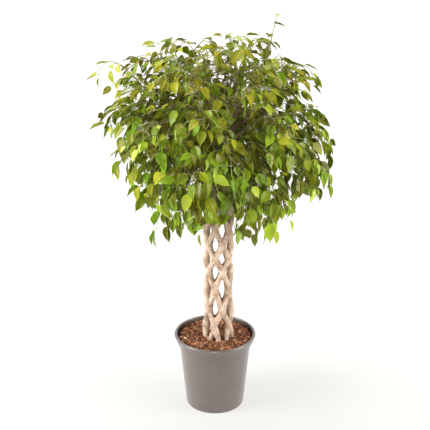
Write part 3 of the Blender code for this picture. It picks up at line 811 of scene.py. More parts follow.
class Skin:
    """Many small closed surfaces gathered into one mesh: points with marks on them, quads and triangles."""

    def __init__(self):
        self.points = []
        self.marks = []
        self.quads = []
        self.tris = []
        self.size = 0

    def add(self, points, marks, quads, tris):
        """Points (n, 3), a mark (3 values) for each, and faces that count from this surface's first point."""
        points = points.reshape(-1, 3)
        self.points.append(points)
        self.marks.append(np.broadcast_to(marks, points.shape).reshape(-1, 3))
        self.quads.append(quads.reshape(-1, 4) + self.size)
        self.tris.append(tris.reshape(-1, 3) + self.size)
        self.size += len(points)

    def add_each(self, points, marks, quads, tris):
        """Many surfaces of the same build: points and marks (n, k, 3), and the faces of the first."""
        n, k, _ = points.shape
        offsets = (np.arange(n) * k)[:, None, None]
        self.add(points, marks.reshape(-1, 3), quads.reshape(-1, 4) + offsets, tris + offsets)

    def add_tube(self, rings, start, end, marks=0.0):
        """Rings joined in a tube, with a pole at each end."""
        rows, columns, _ = rings.shape
        last = rows * columns
        ring = np.arange(columns)
        tris = np.vstack((
            fan_faces(last, ring, False),
            fan_faces(last + 1, ring + last - columns, True),
        ))
        self.add(np.vstack((rings.reshape(-1, 3), start, end)), marks, grid_faces(rows, columns), tris)

    def mesh(self, name):
        made = bpy.data.meshes.new(name)
        quads = np.concatenate(self.quads)
        tris = np.concatenate(self.tris)
        made.from_pydata(np.concatenate(self.points).tolist(), [], quads.tolist() + tris.tolist())
        marks = made.attributes.new("marks", "FLOAT_VECTOR", "POINT")
        marks.data.foreach_set("vector", np.concatenate(self.marks).ravel())
        made.update()
        return made


def grid_faces(rows, columns):
    """Quads of a grid of points whose columns run round: (i, j), (i, j+1), (i+1, j+1), (i+1, j)."""
    i, j = np.meshgrid(np.arange(rows - 1), np.arange(columns), indexing="ij")
    k = (j + 1) % columns
    low = i * columns
    high = low + columns
    return np.stack((low + j, low + k, high + k, high + j), axis=-1)


def fan_faces(pole, ring, outwards):
    """Triangles between a pole and the points of a ring, turned one way or the other."""
    after = np.roll(ring, -1)
    pole = np.full_like(ring, pole)
    return np.stack((pole, ring, after) if outwards else (pole, after, ring), axis=-1)


def linked(name, data):
    """A new object in the scene."""
    made = bpy.data.objects.new(name, data)
    bpy.context.scene.collection.objects.link(made)
    return made


def piece(name, mesh, finish, node, smooth):
    """An object on the root body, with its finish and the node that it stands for."""
    made = linked(name, mesh)
    mesh.materials.append(finish)
    mesh.shade_smooth()
    mesh.set_sharp_from_angle(angle=math.radians(smooth))
    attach(made, "root")
    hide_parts(node)
    return made


# Leaves

BLADE_ROWS = np.array((0.045, 0.17, 0.37, 0.58, 0.75, 0.87))
BLADE_WIDTHS = np.array((0.48, 0.90, 1.0, 0.80, 0.43, 0.13))
BLADE_COLUMNS = np.array((-1.0, -0.5, 0.0, 0.5, 1.0))


def blade_faces():
    """Faces of a blade: the base point, six rows of five upper points and one under the midrib, the tip."""
    rows = len(BLADE_ROWS)
    start = 1 + 6 * np.arange(rows)
    tip = 1 + 6 * rows
    quads = []
    for low, high in zip(start, start[1:]):
        for j in range(4):
            quads.append((low + j + 1, low + j, high + j, high + j + 1))
        quads.append((low, low + 5, high + 5, high))
        quads.append((low + 5, low + 4, high + 4, high + 5))
    first, last = start[0], start[-1]
    tris = [(0, first + j, first + j + 1) for j in range(4)]
    tris += [(0, first + 5, first), (0, first + 4, first + 5)]
    tris += [(tip, last + j + 1, last + j) for j in range(4)]
    tris += [(tip, last, last + 5), (tip, last + 5, last + 4)]
    return np.array(quads), np.array(tris)


BLADE_QUADS, BLADE_TRIS = blade_faces()


def add_leaves(skin, spray, rng):
    """All leaves of a spray at once. Those that the solids have curl half as much, to keep their form.

    The midrib is neck + length (s hang - arch s^2 face - hook s^6 face). A point at t across is the midrib
    + half-width (t cos fold across + |t| sin fold normal), with a ripple along the margin. The first mark
    is the distance across, from 1 at the margin to 0 at the midrib above and to 3 at the midrib below. The
    second is the place along, and the third the tint, with painted shade deep in the crown and painted
    light out past its outline.
    """
    leaves = spray.leaves
    n = len(leaves)
    curl = np.where(np.arange(n) < spray.plain, 0.5, 1.0)[:, None]
    root = np.array([point_and_way(curve, share)[0] for _, curve, share in leaves])
    stalk, hang, face = (np.array([pose[k] for pose, _, _ in leaves]) for k in (1, 2, 3))
    size = np.array([pose[4] for pose, _, _ in leaves])
    share = np.array([share for _, _, share in leaves])
    face = units(face - hang * np.sum(face * hang, axis=1, keepdims=True))
    across = np.cross(face, hang)
    length = (LEAF_LENGTH * size)[:, None]
    neck = root + stalk * STALK_LENGTH
    arch = LEAF_ARCH + curl * rng.uniform(-0.08, 0.20, n)[:, None]
    hook = curl * rng.uniform(-0.02, 0.15, n)[:, None]
    fold = rng.uniform(0.10, 0.60, n)[:, None]
    twist = curl * rng.normal(0, 0.40, n)[:, None]
    ripple = rng.uniform(0.02, 0.11, n)[:, None]
    phase = rng.uniform(0, TAU, n)[:, None]
    slim = rng.uniform(0.82, 1.02, n)[:, None]
    lean = rng.normal(0, 0.035, n)[:, None]

    def midrib(s):
        bent = (arch * s**2 + hook * s**6)[..., None]
        return neck[:, None] + length[..., None] * (
            s[..., None] * hang[:, None] + (lean * s**2)[..., None] * across[:, None] - bent * face[:, None]
        )

    s = np.broadcast_to(BLADE_ROWS, (n, len(BLADE_ROWS)))
    turn = twist * s
    side = np.cos(turn)[..., None] * across[:, None] + np.sin(turn)[..., None] * face[:, None]
    normal = np.cos(turn)[..., None] * face[:, None] - np.sin(turn)[..., None] * across[:, None]
    half = 0.5 * LEAF_WIDTH * size[:, None] * slim * BLADE_WIDTHS
    t = BLADE_COLUMNS
    wave = ripple[..., None] * np.sin(15 * s[..., None] + phase[..., None] + 1.7 * (t > 0)) * t**2
    lift = np.abs(t) ** 1.2 * np.sin(fold)[..., None] + wave
    upper = midrib(s)[:, :, None] + half[..., None, None] * (
        (t * np.cos(fold)[..., None])[..., None] * side[:, :, None] + lift[..., None] * normal[:, :, None]
    )
    under = midrib(s) - MIDRIB_DEPTH * normal
    rows = np.concatenate((upper, under[:, :, None]), axis=2).reshape(n, -1, 3)
    base = midrib(np.zeros((n, 1)))
    tip = midrib(np.ones((n, 1)))
    points = np.concatenate((base, rows, tip), axis=1)

    young = np.clip(share - 0.55, 0, 1) * rng.uniform(0, 0.36, n)
    # Painted shade: a darker tint for leaves deep inside the crown, and painted light, a slightly lighter
    # one, for leaves out past its outline.
    shaded = 0.36 * np.clip(1.1 - outline_share(root), -0.3, 1)
    tint = np.clip(0.41 - shaded + 0.20 * rng.normal(0, 1, n) + young, 0.02, 0.76)
    tint = np.where(rng.uniform(0, 1, n) < YELLOW_SHARE, YELLOW_TINT, tint)
    marks = np.zeros_like(points)
    marks[:, 1:-1, 0] = np.tile([*np.abs(BLADE_COLUMNS), 3.0], len(BLADE_ROWS))
    marks[:, 1:-1, 1] = np.repeat(BLADE_ROWS, 6)
    marks[:, -1, 1] = 1.0
    marks[:, :, 2] = tint[:, None]
    skin.add_each(points, marks, BLADE_QUADS, BLADE_TRIS)
    add_stalks(skin, root, stalk, neck, midrib, face, tint)


def add_stalks(skin, root, stalk, neck, midrib, face, tint):
    """Each leaf's stalk and midrib: three-sided rings from the twig to the neck and on under the blade."""
    n = len(root)
    reach = np.linalg.norm(neck - root, axis=1)[:, None]
    sag = reach * 0.10 * UP
    middle = root + 0.55 * reach * stalk - 0.4 * sag
    under = midrib(np.tile((0.30,), (n, 1)))[:, 0] - 0.0007 * face
    tip = midrib(np.tile((0.80,), (n, 1)))[:, 0] - MIDRIB_DEPTH * face
    centres = np.stack((root, middle, neck - 0.0003 * face, under), axis=1)
    ways = units(np.gradient(centres, axis=1))
    side = units(np.cross(ways, face[:, None]))
    other = np.cross(side, ways)
    radii = np.array((0.0011, 0.0008, 0.00075, 0.0006))[None, :, None, None]
    angles = (np.arange(3) * TAU / 3)[None, None, :, None]
    spokes = np.cos(angles) * side[:, :, None] + np.sin(angles) * other[:, :, None]
    rings = centres[:, :, None] + radii * spokes
    points = np.concatenate((rings.reshape(n, -1, 3), root[:, None], tip[:, None]), axis=1)
    quads = grid_faces(4, 3)[..., ::-1]
    ring = np.arange(3)
    tris = np.vstack((fan_faces(12, ring, True), fan_faces(13, ring + 9, False)))
    marks = np.zeros_like(points)
    marks[:, :, 1] = np.array([*np.repeat((-0.25, -0.12, 0.0, 0.3), 3), -0.25, 0.8])
    marks[:, :, 2] = tint[:, None]
    skin.add_each(points, marks, quads, tris)


def add_twig(skin, curve, radius, rng, from_bough):
    """A twig: its radius falls from root to tip, swells a little at each leaf, and ends in a slender bud."""
    length = np.linalg.norm(np.diff(bezier(*curve, 9), axis=0), axis=1).sum()
    count = max(6, int(length / TWIG_STEP))
    path = bezier(*curve, count)
    path[1:-1] += 0.0006 * rng.normal(0, 1, (count - 2, 3))
    share = np.linspace(0, 1, count)
    radii = radius + (TWIG_END_RADIUS - radius) * share**0.8
    radii *= 1 + 0.16 * np.cos(share * length / LEAF_STEP * TAU)
    rings = rings_along(path, radii, TWIG_FACETS)
    bud = path[-1] + BUD_LENGTH * unit(path[-1] - path[-2])
    age = np.concatenate((np.repeat(share, TWIG_FACETS), (0.0, 1.0)))
    woody = 0.0 if from_bough else 0.35
    marks = np.stack((np.zeros_like(age), age, woody + (1 - woody) * age), axis=1)
    skin.add_tube(rings, path[0], bud, marks)


def make_foliage(sprays, leaf, twig):
    """Two pieces for each spray: its leaves and its twigs."""
    rng = np.random.default_rng(SEED + 3)
    for i, spray in enumerate(sprays):
        blades = Skin()
        add_leaves(blades, spray, rng)
        twigs = Skin()
        for k, (curve, radius) in enumerate(spray.twigs):
            add_twig(twigs, curve, radius, rng, k == 0)
        node = f"spray_{i + 1:02d}" if i < SPRAYS else "top_shoot"
        name = f"leaves_{i + 1:02d}" if i < SPRAYS else "shoot_leaves"
        piece(name, blades.mesh(name), leaf, node, 50)
        name = name.replace("leaves", "twigs")
        piece(name, twigs.mesh(name), twig, node, 50)


# Wood


def relaxed(points, edges, weights):
    """Points moved towards the mean of their neighbours, once for each weight."""
    ends = np.concatenate((edges[:, 0], edges[:, 1]))
    others = np.concatenate((edges[:, 1], edges[:, 0]))
    count = np.bincount(ends, minlength=len(points))
    for weight in weights:
        sums = [np.bincount(ends, points[others, k], len(points)) for k in range(3)]
        points = points + weight * (np.stack(sums, axis=1) / count[:, None] - points)
    return points


def add_stem(skin, hand, first, curve):
    """A fine stem: its helix up the lattice and the first part of its bough, swaying and lumpy by noise."""
    z = np.linspace(STEM_FOOT, LATTICE_TOP, 110)
    lattice = lattice_points(hand, first, z)
    share = np.linspace(0, 0.30, 14)[1:]
    path = np.vstack((lattice, points_at(curve, share)))
    sway = [lumps(path, 0.035, seed=hand + seed) for seed in (20, 30)]
    path[:, :2] += 0.0022 * np.stack(sway, axis=1)
    radii = np.concatenate((stem_radius(z), bough_radius(share)))
    radii *= 1.0 + 0.11 * lumps(path, 0.020, seed=3)
    rings = rings_along(path, radii, 14)
    rings += 0.0006 * lumps(rings, 0.011, seed=4)[..., None] * units(rings - path[:, None])
    skin.add_tube(rings, path[0], path[-1])


def bough_radius(share):
    """A stem's own bough thins evenly from the lattice's top to its end."""
    top = float(stem_radius(np.array(LATTICE_TOP))) * 0.97
    return top + (BOUGH_END_RADIUS - top) * share**0.85


def gathered(items, name, width, kind=float):
    """One property of all of a mesh's points, edges or faces, as the rows of an array."""
    values = np.empty(width * len(items), dtype=kind)
    items.foreach_get(name, values)
    return values.reshape(-1, width)


def grown_lattice(stems):
    """The ten stems fused: tubes remeshed as one skin, relaxed so that grafts web over, and roughened."""
    skin = Skin()
    for hand, first, curve, _ in stems:
        add_stem(skin, hand, first, curve)
    rough = linked("rough_lattice", skin.mesh("rough_lattice"))
    remesh = rough.modifiers.new("Fuse", "REMESH")
    remesh.mode = "VOXEL"
    remesh.voxel_size = BARK_VOXEL
    graph = bpy.context.evaluated_depsgraph_get()
    fused = bpy.data.meshes.new_from_object(rough.evaluated_get(graph))
    bpy.data.objects.remove(rough)
    edges = gathered(fused.edges, "vertices", 2, int)
    points = relaxed(gathered(fused.vertices, "co", 3), edges, (0.5,) * 4)
    fused.vertices.foreach_set("co", points.ravel())
    fused.update()
    normals = gathered(fused.vertex_normals, "vector", 3)
    hollow = np.sum((relaxed(points, edges, (0.5,) * 14) - points) * normals, axis=1)
    stretched = points * (1, 1, 0.4)
    rise = 0.0005 + 0.0007 * lumps(stretched, 0.009, seed=5) + 0.0004 * lumps(stretched, 0.0045, seed=6)
    points = points + normals * rise[:, None]
    marks = np.zeros_like(points)
    # The first mark says how hollow each point lies; the bark's finish paints shade into the hollows from it.
    marks[:, 0] = np.clip(hollow / 0.0009, -1, 1)
    quads = gathered(fused.polygons, "vertices", 4, int)
    bpy.data.meshes.remove(fused)
    return points, marks, quads


def make_wood(stems, forks, finish):
    """The fused lattice and the boughs above it, one piece."""
    skin = Skin()
    points, marks, quads = grown_lattice(stems)
    skin.add(points, marks, quads, np.empty((0, 3), dtype=int))
    for _, _, curve, _ in stems:
        share = np.linspace(0.24, 1, 26)
        add_bough(skin, points_at(curve, share), bough_radius(share))
    for curve, _, _ in forks:
        share = np.linspace(0, 1, 22)
        add_bough(skin, points_at(curve, share), FORK_RADIUS + (BOUGH_END_RADIUS - FORK_RADIUS) * share)
    piece("trunk_and_boughs", skin.mesh("trunk_and_boughs"), finish, "trunk", 60)


def add_bough(skin, path, radii):
    """A bough: rings along its path, with a knotty radius, closed by a low dome at its end."""
    radii = radii * (1 + 0.10 * lumps(path, 0.02, seed=7))
    radii[-1] *= 0.9
    rings = rings_along(path, radii, BOUGH_FACETS)
    rings += 0.0004 * lumps(rings, 0.008, seed=8)[..., None] * units(rings - path[:, None])
    skin.add_tube(rings, path[0], path[-1] + 0.0002 * unit(path[-1] - path[-2]))


# Pot and soil


def arc(centre, radius, start, end, count):
    """Points of an arc in the (radius, height) plane: centre + radius (cos a, sin a), angles in degrees."""
    a = np.radians(np.linspace(start, end, count))
    return np.stack((centre[0] + radius * np.cos(a), centre[1] + radius * np.sin(a)), axis=1)


def pot_profile():
    """Half of the pot's section: out along the underside, up the wall, over the lip and down inside."""
    ledge = POT_HEIGHT - RIM_BAND
    foot = arc((BASE_RADIUS - 0.0055, 0.0055), 0.0055, -90, -8, 8)
    wall = np.linspace((BASE_RADIUS + 0.0001, 0.008), (BODY_TOP_RADIUS, ledge - 0.006), 24)
    hollow = arc((BODY_TOP_RADIUS + 0.005, ledge - 0.0055), 0.005, 180, 90, 6)
    corner = arc((RIM_RADIUS - 0.0100, ledge + 0.0012), 0.0016, -90, -10, 5)
    band = np.linspace((RIM_RADIUS - 0.0082, ledge + 0.003), (RIM_RADIUS - 0.0016, POT_HEIGHT - 0.0075), 8)
    outer_lip = arc((RIM_RADIUS - 0.0034, POT_HEIGHT - 0.0036), 0.0034, -15, 90, 9)
    inner_lip = arc((LIP_INNER_RADIUS + 0.0022, POT_HEIGHT - 0.0024), 0.0024, 90, 178, 7)
    step = ledge + WALL
    band_inside = np.linspace(
        (LIP_INNER_RADIUS - 0.0006, POT_HEIGHT - 0.005),
        (LIP_INNER_RADIUS - 0.0031, step + 0.003),
        6,
    )
    inside = np.array((
        (LIP_INNER_RADIUS - 0.0042, step + 0.0008),
        (BODY_TOP_RADIUS - 0.001, step + 0.0002),
        (BODY_TOP_RADIUS - WALL, step - 0.0028),
        (BASE_RADIUS - 0.0015, FLOOR),
    ))
    underside = np.linspace((0.03, 0.0), (BASE_RADIUS - 0.006, 0.0), 4)[:-1]
    floor = np.array(((0.09, FLOOR), (0.03, FLOOR)))
    outside = (underside, foot, wall, hollow, corner, band, outer_lip)
    return np.vstack((*outside, inner_lip, band_inside, inside, floor))


def turned(profile):
    """A (radius, height) profile turned round the Z axis: rings of (radius cos a, radius sin a, height)."""
    angles = np.arange(POT_SEGMENTS) * TAU / POT_SEGMENTS
    radii, heights = profile[:, :1], np.repeat(profile[:, 1:], POT_SEGMENTS, axis=1)
    return np.stack((radii * np.cos(angles), radii * np.sin(angles), heights), axis=-1)


def make_pot(finish):
    """The pot's profile turned round the Z axis, closed by a pole under and one inside, with drain holes."""
    skin = Skin()
    skin.add_tube(turned(pot_profile()), (0, 0, 0), (0, 0, FLOOR))
    pot = piece("nursery_pot", skin.mesh("nursery_pot"), finish, "pot", 32)
    drills = Skin()
    for i in range(DRAIN_COUNT):
        middle = DRAIN_RING * level_way(TAU * (i + 0.5) / DRAIN_COUNT)
        path = np.array((middle - 0.01 * UP, middle + (FLOOR + 0.01) * UP))
        drills.add_tube(rings_along(path, (DRAIN_RADIUS,) * 2, 24), *path)
    drill = linked("drills", drills.mesh("drills"))
    cut = pot.modifiers.new("Drains", "BOOLEAN")
    cut.object = drill
    cut.operation = "DIFFERENCE"
    cut.solver = "EXACT"
    graph = bpy.context.evaluated_depsgraph_get()
    pot.data = bpy.data.meshes.new_from_object(pot.evaluated_get(graph))
    pot.modifiers.clear()
    bpy.data.objects.remove(drill)


def soil_top(x, y):
    """The height of the soil between its chips: a low mound with two sizes of lumps, level at the wall."""
    reach = np.hypot(x, y) / LIP_INNER_RADIUS
    at = np.stack((x, y, np.zeros_like(x)), axis=-1)
    rough = 0.0026 * lumps(at, 0.028, seed=11) + 0.0012 * lumps(at, 0.009, seed=12)
    return SOIL_EDGE - 0.001 + SOIL_MOUND * (1 - reach**2) + rough * np.clip(8 * (1 - reach), 0, 1)


def make_soil(finish):
    """The block of soil, turned from the pot's inner wall, with chips and fibres strewn on its top."""
    step = POT_HEIGHT - RIM_BAND + WALL
    spare = 1.3 * GAP
    wall = np.array((
        (BASE_RADIUS - 0.0015 - spare, FLOOR + spare),
        (BODY_TOP_RADIUS - WALL - spare, step - 0.0028),
        (BODY_TOP_RADIUS - 0.001 - spare, step + 0.0006),
        (LIP_INNER_RADIUS - 0.0052, step + 0.0012),
        (LIP_INNER_RADIUS - 0.0046, SOIL_EDGE - 0.001),
    ))
    radii = np.linspace(LIP_INNER_RADIUS - 0.0060, 0.004, SOIL_RINGS)
    top = turned(np.column_stack((radii, np.zeros_like(radii))))
    top[..., 2] = soil_top(top[..., 0], top[..., 1])
    rings = np.concatenate((turned(wall), top))
    peak = float(soil_top(np.zeros(1), np.zeros(1))[0])
    skin = Skin()
    skin.add_tube(rings, (0, 0, FLOOR + spare), (0, 0, peak), (0, 0, SOIL_TINT))
    rng = np.random.default_rng(SEED + 4)
    add_chips(skin, rng)
    add_fibres(skin, rng)
    piece("bark_mulch", skin.mesh("bark_mulch"), finish, "soil", 45)


def strewn(count, rng, margin):
    """Places spread evenly over the soil: radius by the square root of a uniform draw, any azimuth."""
    radius = (LIP_INNER_RADIUS - 0.0075 - margin) * np.sqrt(rng.uniform(0, 1, count))
    azimuth = rng.uniform(0, TAU, count)
    x, y = radius * np.cos(azimuth), radius * np.sin(azimuth)
    return np.stack((x, y, soil_top(x, y)), axis=-1)


def turned_frames(count, rng, tilt):
    """Three square axes for each chip: a level turn, tilted a little about both level axes."""
    turn = rng.uniform(0, TAU, count)
    long = units(np.stack((np.cos(turn), np.sin(turn), rng.normal(0, tilt, count)), axis=-1))
    upright = np.column_stack((rng.normal(0, tilt, (count, 2)), np.ones(count)))
    flat = units(np.cross(long, upright))
    return long, flat, np.cross(long, flat)


def add_chips(skin, rng):
    """Bark chips: three rough rings of six points and two poles, drawn out along the axes of each frame."""
    n = CHIP_COUNT
    centres = strewn(n, rng, 0.004)
    centres[:, 2] += rng.uniform(-0.0006, 0.0022, n)
    long, flat, high = turned_frames(n, rng, 0.32)
    size = rng.gamma(6.0, 0.00080, n)[:, None, None]
    wide = rng.uniform(0.45, 0.85, n)[:, None, None]
    thin = rng.uniform(0.22, 0.50, n)[:, None, None]
    angles = np.arange(6) * TAU / 6
    along = np.array((-0.62, 0.05, 0.68))[None, :, None]
    swell = np.array((0.80, 1.0, 0.74))[None, :, None] * rng.uniform(0.75, 1.2, (n, 3, 6))
    a = size * (along * 1.25 + 0.16 * rng.normal(0, 1, (n, 3, 6)))
    b = size * wide * swell * np.cos(angles)
    c = size * thin * swell * np.sin(angles)
    place = centres[:, None, None]
    rings = place + a[..., None] * long[:, None, None] + b[..., None] * flat[:, None, None]
    rings = rings + c[..., None] * high[:, None, None]
    poles = centres[:, None] + np.array((-1.0, 1.0))[None, :, None] * 1.15 * size * long[:, None]
    points = np.concatenate((rings.reshape(n, 18, 3), poles), axis=1)
    ring = np.arange(6)
    tris = np.vstack((fan_faces(18, ring, False), fan_faces(19, ring + 12, True)))
    tint = np.clip(rng.normal(0.42, 0.20, n), 0.05, 0.8)
    tint = np.where(rng.uniform(0, 1, n) < PALE_CHIPS, rng.uniform(0.85, 1.0, n), tint)
    marks = np.zeros_like(points)
    marks[:, :, 2] = tint[:, None]
    skin.add_each(points, marks, grid_faces(3, 6), tris)


def add_fibres(skin, rng):
    """Coconut fibres: thin three-sided threads on short arcs that rise and dip on the soil."""
    for start, bend in zip(strewn(FIBRE_COUNT, rng, 0.02), rng.normal(0, 1, (FIBRE_COUNT, 3))):
        way = level_way(rng.uniform(0, TAU))
        long = rng.uniform(0.008, 0.020)
        side = np.cross(way, UP)
        path = bezier(
            start + 0.0005 * UP,
            start + long * (0.35 * way + 0.25 * bend[0] * side) + rng.uniform(0.002, 0.006) * UP,
            start + long * (0.7 * way + 0.25 * bend[1] * side) + rng.uniform(0.002, 0.006) * UP,
            start + long * way + 0.0005 * UP,
            7,
        )
        rings = rings_along(path, (FIBRE_RADIUS,) * len(path), 3)
        skin.add_tube(rings, path[0], path[-1], (0, 0, FIBRE_TINT))


# Finishes


class Finish:
    """A Principled material, with short calls for the nodes that its colour, gloss and bump come from."""

    def __init__(self, name, roughness, specular=0.5):
        self.material = bpy.data.materials.new(name)
        self.material.use_nodes = True
        self.tree = self.material.node_tree
        self.shader = self.tree.nodes["Principled BSDF"]
        self.shader.inputs["Roughness"].default_value = roughness
        self.shader.inputs["Specular IOR Level"].default_value = specular

    def node(self, kind, **settings):
        made = self.tree.nodes.new("ShaderNode" + kind)
        for name, value in settings.items():
            setattr(made, name, value)
        return made

    def feed(self, socket, value):
        """Links another node's output to a socket, or sets its value."""
        if isinstance(value, bpy.types.NodeSocket):
            self.tree.links.new(value, socket)
        else:
            socket.default_value = value

    def place(self, scale=(1, 1, 1)):
        """The Object coordinates, stretched by a Mapping node."""
        mapping = self.node("Mapping")
        self.feed(mapping.inputs["Vector"], self.node("TexCoord").outputs["Object"])
        mapping.inputs["Scale"].default_value = scale
        return mapping.outputs["Vector"]

    def split(self, vector):
        """The three values of a vector."""
        made = self.node("SeparateXYZ")
        self.feed(made.inputs[0], vector)
        return made.outputs

    def marks(self):
        """The three values that each point of the mesh carries."""
        return self.split(self.node("Attribute", attribute_name="marks").outputs["Vector"])

    def noise(self, vector, scale, detail=3.0):
        made = self.node("TexNoise")
        self.feed(made.inputs["Vector"], vector)
        made.inputs["Scale"].default_value = scale
        made.inputs["Detail"].default_value = detail
        return made.outputs[0]

    def math(self, operation, a, b=0.5, c=0.5):
        made = self.node("Math", operation=operation)
        for socket, value in zip(made.inputs, (a, b, c)):
            self.feed(socket, value)
        return made.outputs[0]

    def varied(self, value, noise, amount):
        """A value made uneven by a noise: value + (noise - 0.5) amount."""
        return self.math("ADD", value, self.math("MULTIPLY", self.math("SUBTRACT", noise), amount))

    def stretch(self, value, low, high, to_low=0.0, to_high=1.0):
        """A value mapped from one range to another and held at its ends."""
        made = self.node("MapRange")
        for socket, number in zip(made.inputs, (value, low, high, to_low, to_high)):
            self.feed(socket, number)
        return made.outputs[0]

    def ramp(self, value, stops):
        """Colours blended along a value: stops are (place, (r, g, b))."""
        made = self.node("ValToRGB")
        self.feed(made.inputs[0], value)
        elements = made.color_ramp.elements
        for at, (place, colour) in enumerate(stops):
            element = elements[at] if at < 2 else elements.new(place)
            element.position = place
            element.color = (*colour, 1)
        return made.outputs[0]

    def blend(self, factor, a, b, how="MIX"):
        made = self.node("Mix", data_type="RGBA", blend_type=how)
        for socket, value in ((0, factor), (6, a), (7, b)):
            self.feed(made.inputs[socket], (*value, 1) if isinstance(value, tuple) else value)
        return made.outputs[2]

    def bump(self, height, distance, strength=1.0):
        made = self.node("Bump")
        made.inputs["Distance"].default_value = distance
        made.inputs["Strength"].default_value = strength
        self.feed(made.inputs["Height"], height)
        self.feed(self.shader.inputs["Normal"], made.outputs[0])

    def colour(self, value):
        self.feed(self.shader.inputs["Base Color"], value)
        return value


def leaf_finish():
    """Glossy green: a tint for each leaf, a pale midrib and side veins, mottling, and a paler underside."""
    made = Finish("glossy_leaf", 0.25, 0.20)
    across, along, tint = made.marks()
    under = made.math("GREATER_THAN", across, 1.03)
    flipped = made.math("MULTIPLY", under, made.math("MULTIPLY_ADD", across, -1.5, 1.5))
    wide = made.math("ADD", across, flipped)
    mottled = made.noise(made.place(), 28.0)
    green = made.ramp(made.varied(tint, mottled, 0.28), (
        (0.0, (0.049, 0.047, 0.001)),
        (1.0, (0.66, 0.60, 0.15)),
        (0.28, (0.128, 0.154, 0.003)),
        (0.52, (0.298, 0.362, 0.010)),
        (0.74, (0.462, 0.525, 0.100)),
        (0.90, (0.57, 0.58, 0.190)),
    ))
    kind = made.math("FRACT", made.math("MULTIPLY", tint, 37.0))
    kinds = made.ramp(kind, ((0.0, (0.56, 1.06, 0.80)), (1.0, (1.22, 0.98, 0.70))))
    green = made.blend(made.stretch(tint, 0.45, 0.75, 1.0, 0.30), green, kinds, "MULTIPLY")
    # Painted light: leaves low in the crown are made lighter than those above; towards the top they turn more
    # olive.
    tone = made.ramp(made.stretch(made.split(made.place())[2], 0.80, 1.36), (
        (0.0, (1.34, 1.33, 1.20)),
        (1.0, (1.13, 0.90, 0.70)),
        (0.45, (1.11, 1.10, 1.00)),
    ))
    green = made.blend(1.0, green, tone, "MULTIPLY")
    swept = made.math("SUBTRACT", along, made.math("MULTIPLY", wide, 0.16))
    veins = made.math("ABSOLUTE", made.math("SINE", made.math("MULTIPLY", swept, 30.0)))
    veins = made.stretch(veins, 0.0, 0.22, 1.0, 0.0)
    midrib = made.stretch(wide, 0.02, 0.09, 1.0, 0.0)
    lined = made.blend(made.math("MULTIPLY", veins, 0.16), green, (0.32, 0.38, 0.02))
    lined = made.blend(made.math("MULTIPLY", midrib, 0.55), lined, (0.42, 0.46, 0.10))
    pale = made.blend(0.45, lined, (0.27, 0.335, 0.045))
    surface = made.colour(made.blend(under, lined, pale))
    relief = made.math("SUBTRACT", made.math("MULTIPLY", mottled, 0.4), made.math("ADD", midrib, veins))
    made.bump(relief, 0.0004, 0.5)
    waxy = made.noise(made.place(), 60.0)
    made.feed(made.shader.inputs["Roughness"], made.stretch(waxy, 0.3, 0.7, 0.17, 0.31))
    through = made.node("BsdfTranslucent")
    made.feed(through.inputs["Color"], made.blend(0.5, surface, (0.55, 0.57, 0.04)))
    joined = made.node("MixShader")
    made.feed(joined.inputs[0], 0.30)
    made.feed(joined.inputs[1], made.shader.outputs[0])
    made.feed(joined.inputs[2], through.outputs[0])
    made.feed(made.tree.nodes["Material Output"].inputs["Surface"], joined.outputs[0])
    return made.material


def twig_finish():
    """Twigs: brown bark where they are woody, turning green towards the tip."""
    made = Finish("young_twig", 0.55, 0.35)
    _, _, age = made.marks()
    grain = made.noise(made.place((1, 1, 0.3)), 220.0)
    made.colour(made.ramp(made.varied(age, grain, 0.3), (
        (0.0, (0.22, 0.14, 0.08)),
        (1.0, (0.20, 0.30, 0.04)),
        (0.45, (0.19, 0.15, 0.06)),
    )))
    made.bump(grain, 0.0003, 0.6)
    return made.material


def bark_finish():
    """Pale bark: pinkish and tan patches and long fine cracks, with painted shade in the hollows and
    inside the lattice.

    It is browner up in the crown.
    """
    made = Finish("pale_bark", 0.72, 0.3)
    hollow, _, _ = made.marks()
    place = made.place()
    patches = made.noise(place, 38.0)
    streaks = made.noise(made.place((1, 1, 0.16)), 230.0, 5.0)
    spots = made.noise(made.place((0.6, 0.6, 1.6)), 420.0, 2.0)
    base = made.ramp(patches, (
        (0.30, (0.23, 0.144, 0.094)),
        (0.72, (0.58, 0.466, 0.370)),
        (0.50, (0.472, 0.348, 0.254)),
    ))
    lined = made.blend(made.stretch(streaks, 0.50, 0.66, 0.0, 0.62), base, (0.33, 0.205, 0.125))
    dotted = made.blend(made.stretch(spots, 0.66, 0.74, 0.0, 0.5), lined, (0.30, 0.19, 0.12))
    # Painted shade in the hollows where the stems fuse.
    shaded = made.blend(made.stretch(hollow, 0.08, 0.8, 0.0, 0.85), dotted, (0.20, 0.115, 0.065))
    x, y, z = made.split(place)
    # Painted shade on the stems near the lattice's axis, their inner sides.
    aside = made.math("POWER", made.math("SUBTRACT", x, TRUNK_X), 2.0)
    from_axis = made.math("SQRT", made.math("ADD", aside, made.math("POWER", y, 2.0)))
    shaded = made.blend(made.stretch(from_axis, 0.036, 0.049, 0.66, 0.0), shaded, (0.21, 0.130, 0.082))
    browner = made.blend(0.85, shaded, (0.52, 0.37, 0.30), "MULTIPLY")
    made.colour(made.blend(made.stretch(z, 0.80, 0.98), shaded, browner))
    rough = made.math("SUBTRACT", made.math("MULTIPLY", patches, 0.6), made.math("MULTIPLY", streaks, 0.9))
    made.bump(rough, 0.0016, 0.7)
    return made.material


def soil_finish():
    """Bark chips: dark, red-brown and tan, one tint a chip, darker soil between them, with a fine grain."""
    made = Finish("bark_chips_and_coir", 0.80, 0.25)
    _, _, tint = made.marks()
    place = made.place()
    grain = made.noise(place, 300.0, 4.0)
    made.colour(made.ramp(made.varied(tint, grain, 0.5), (
        (0.0, (0.045, 0.015, 0.006)),
        (1.0, (0.58, 0.39, 0.25)),
        (0.30, (0.165, 0.056, 0.022)),
        (0.55, (0.29, 0.112, 0.047)),
        (0.80, (0.36, 0.170, 0.088)),
    )))
    made.bump(grain, 0.0012, 0.8)
    return made.material


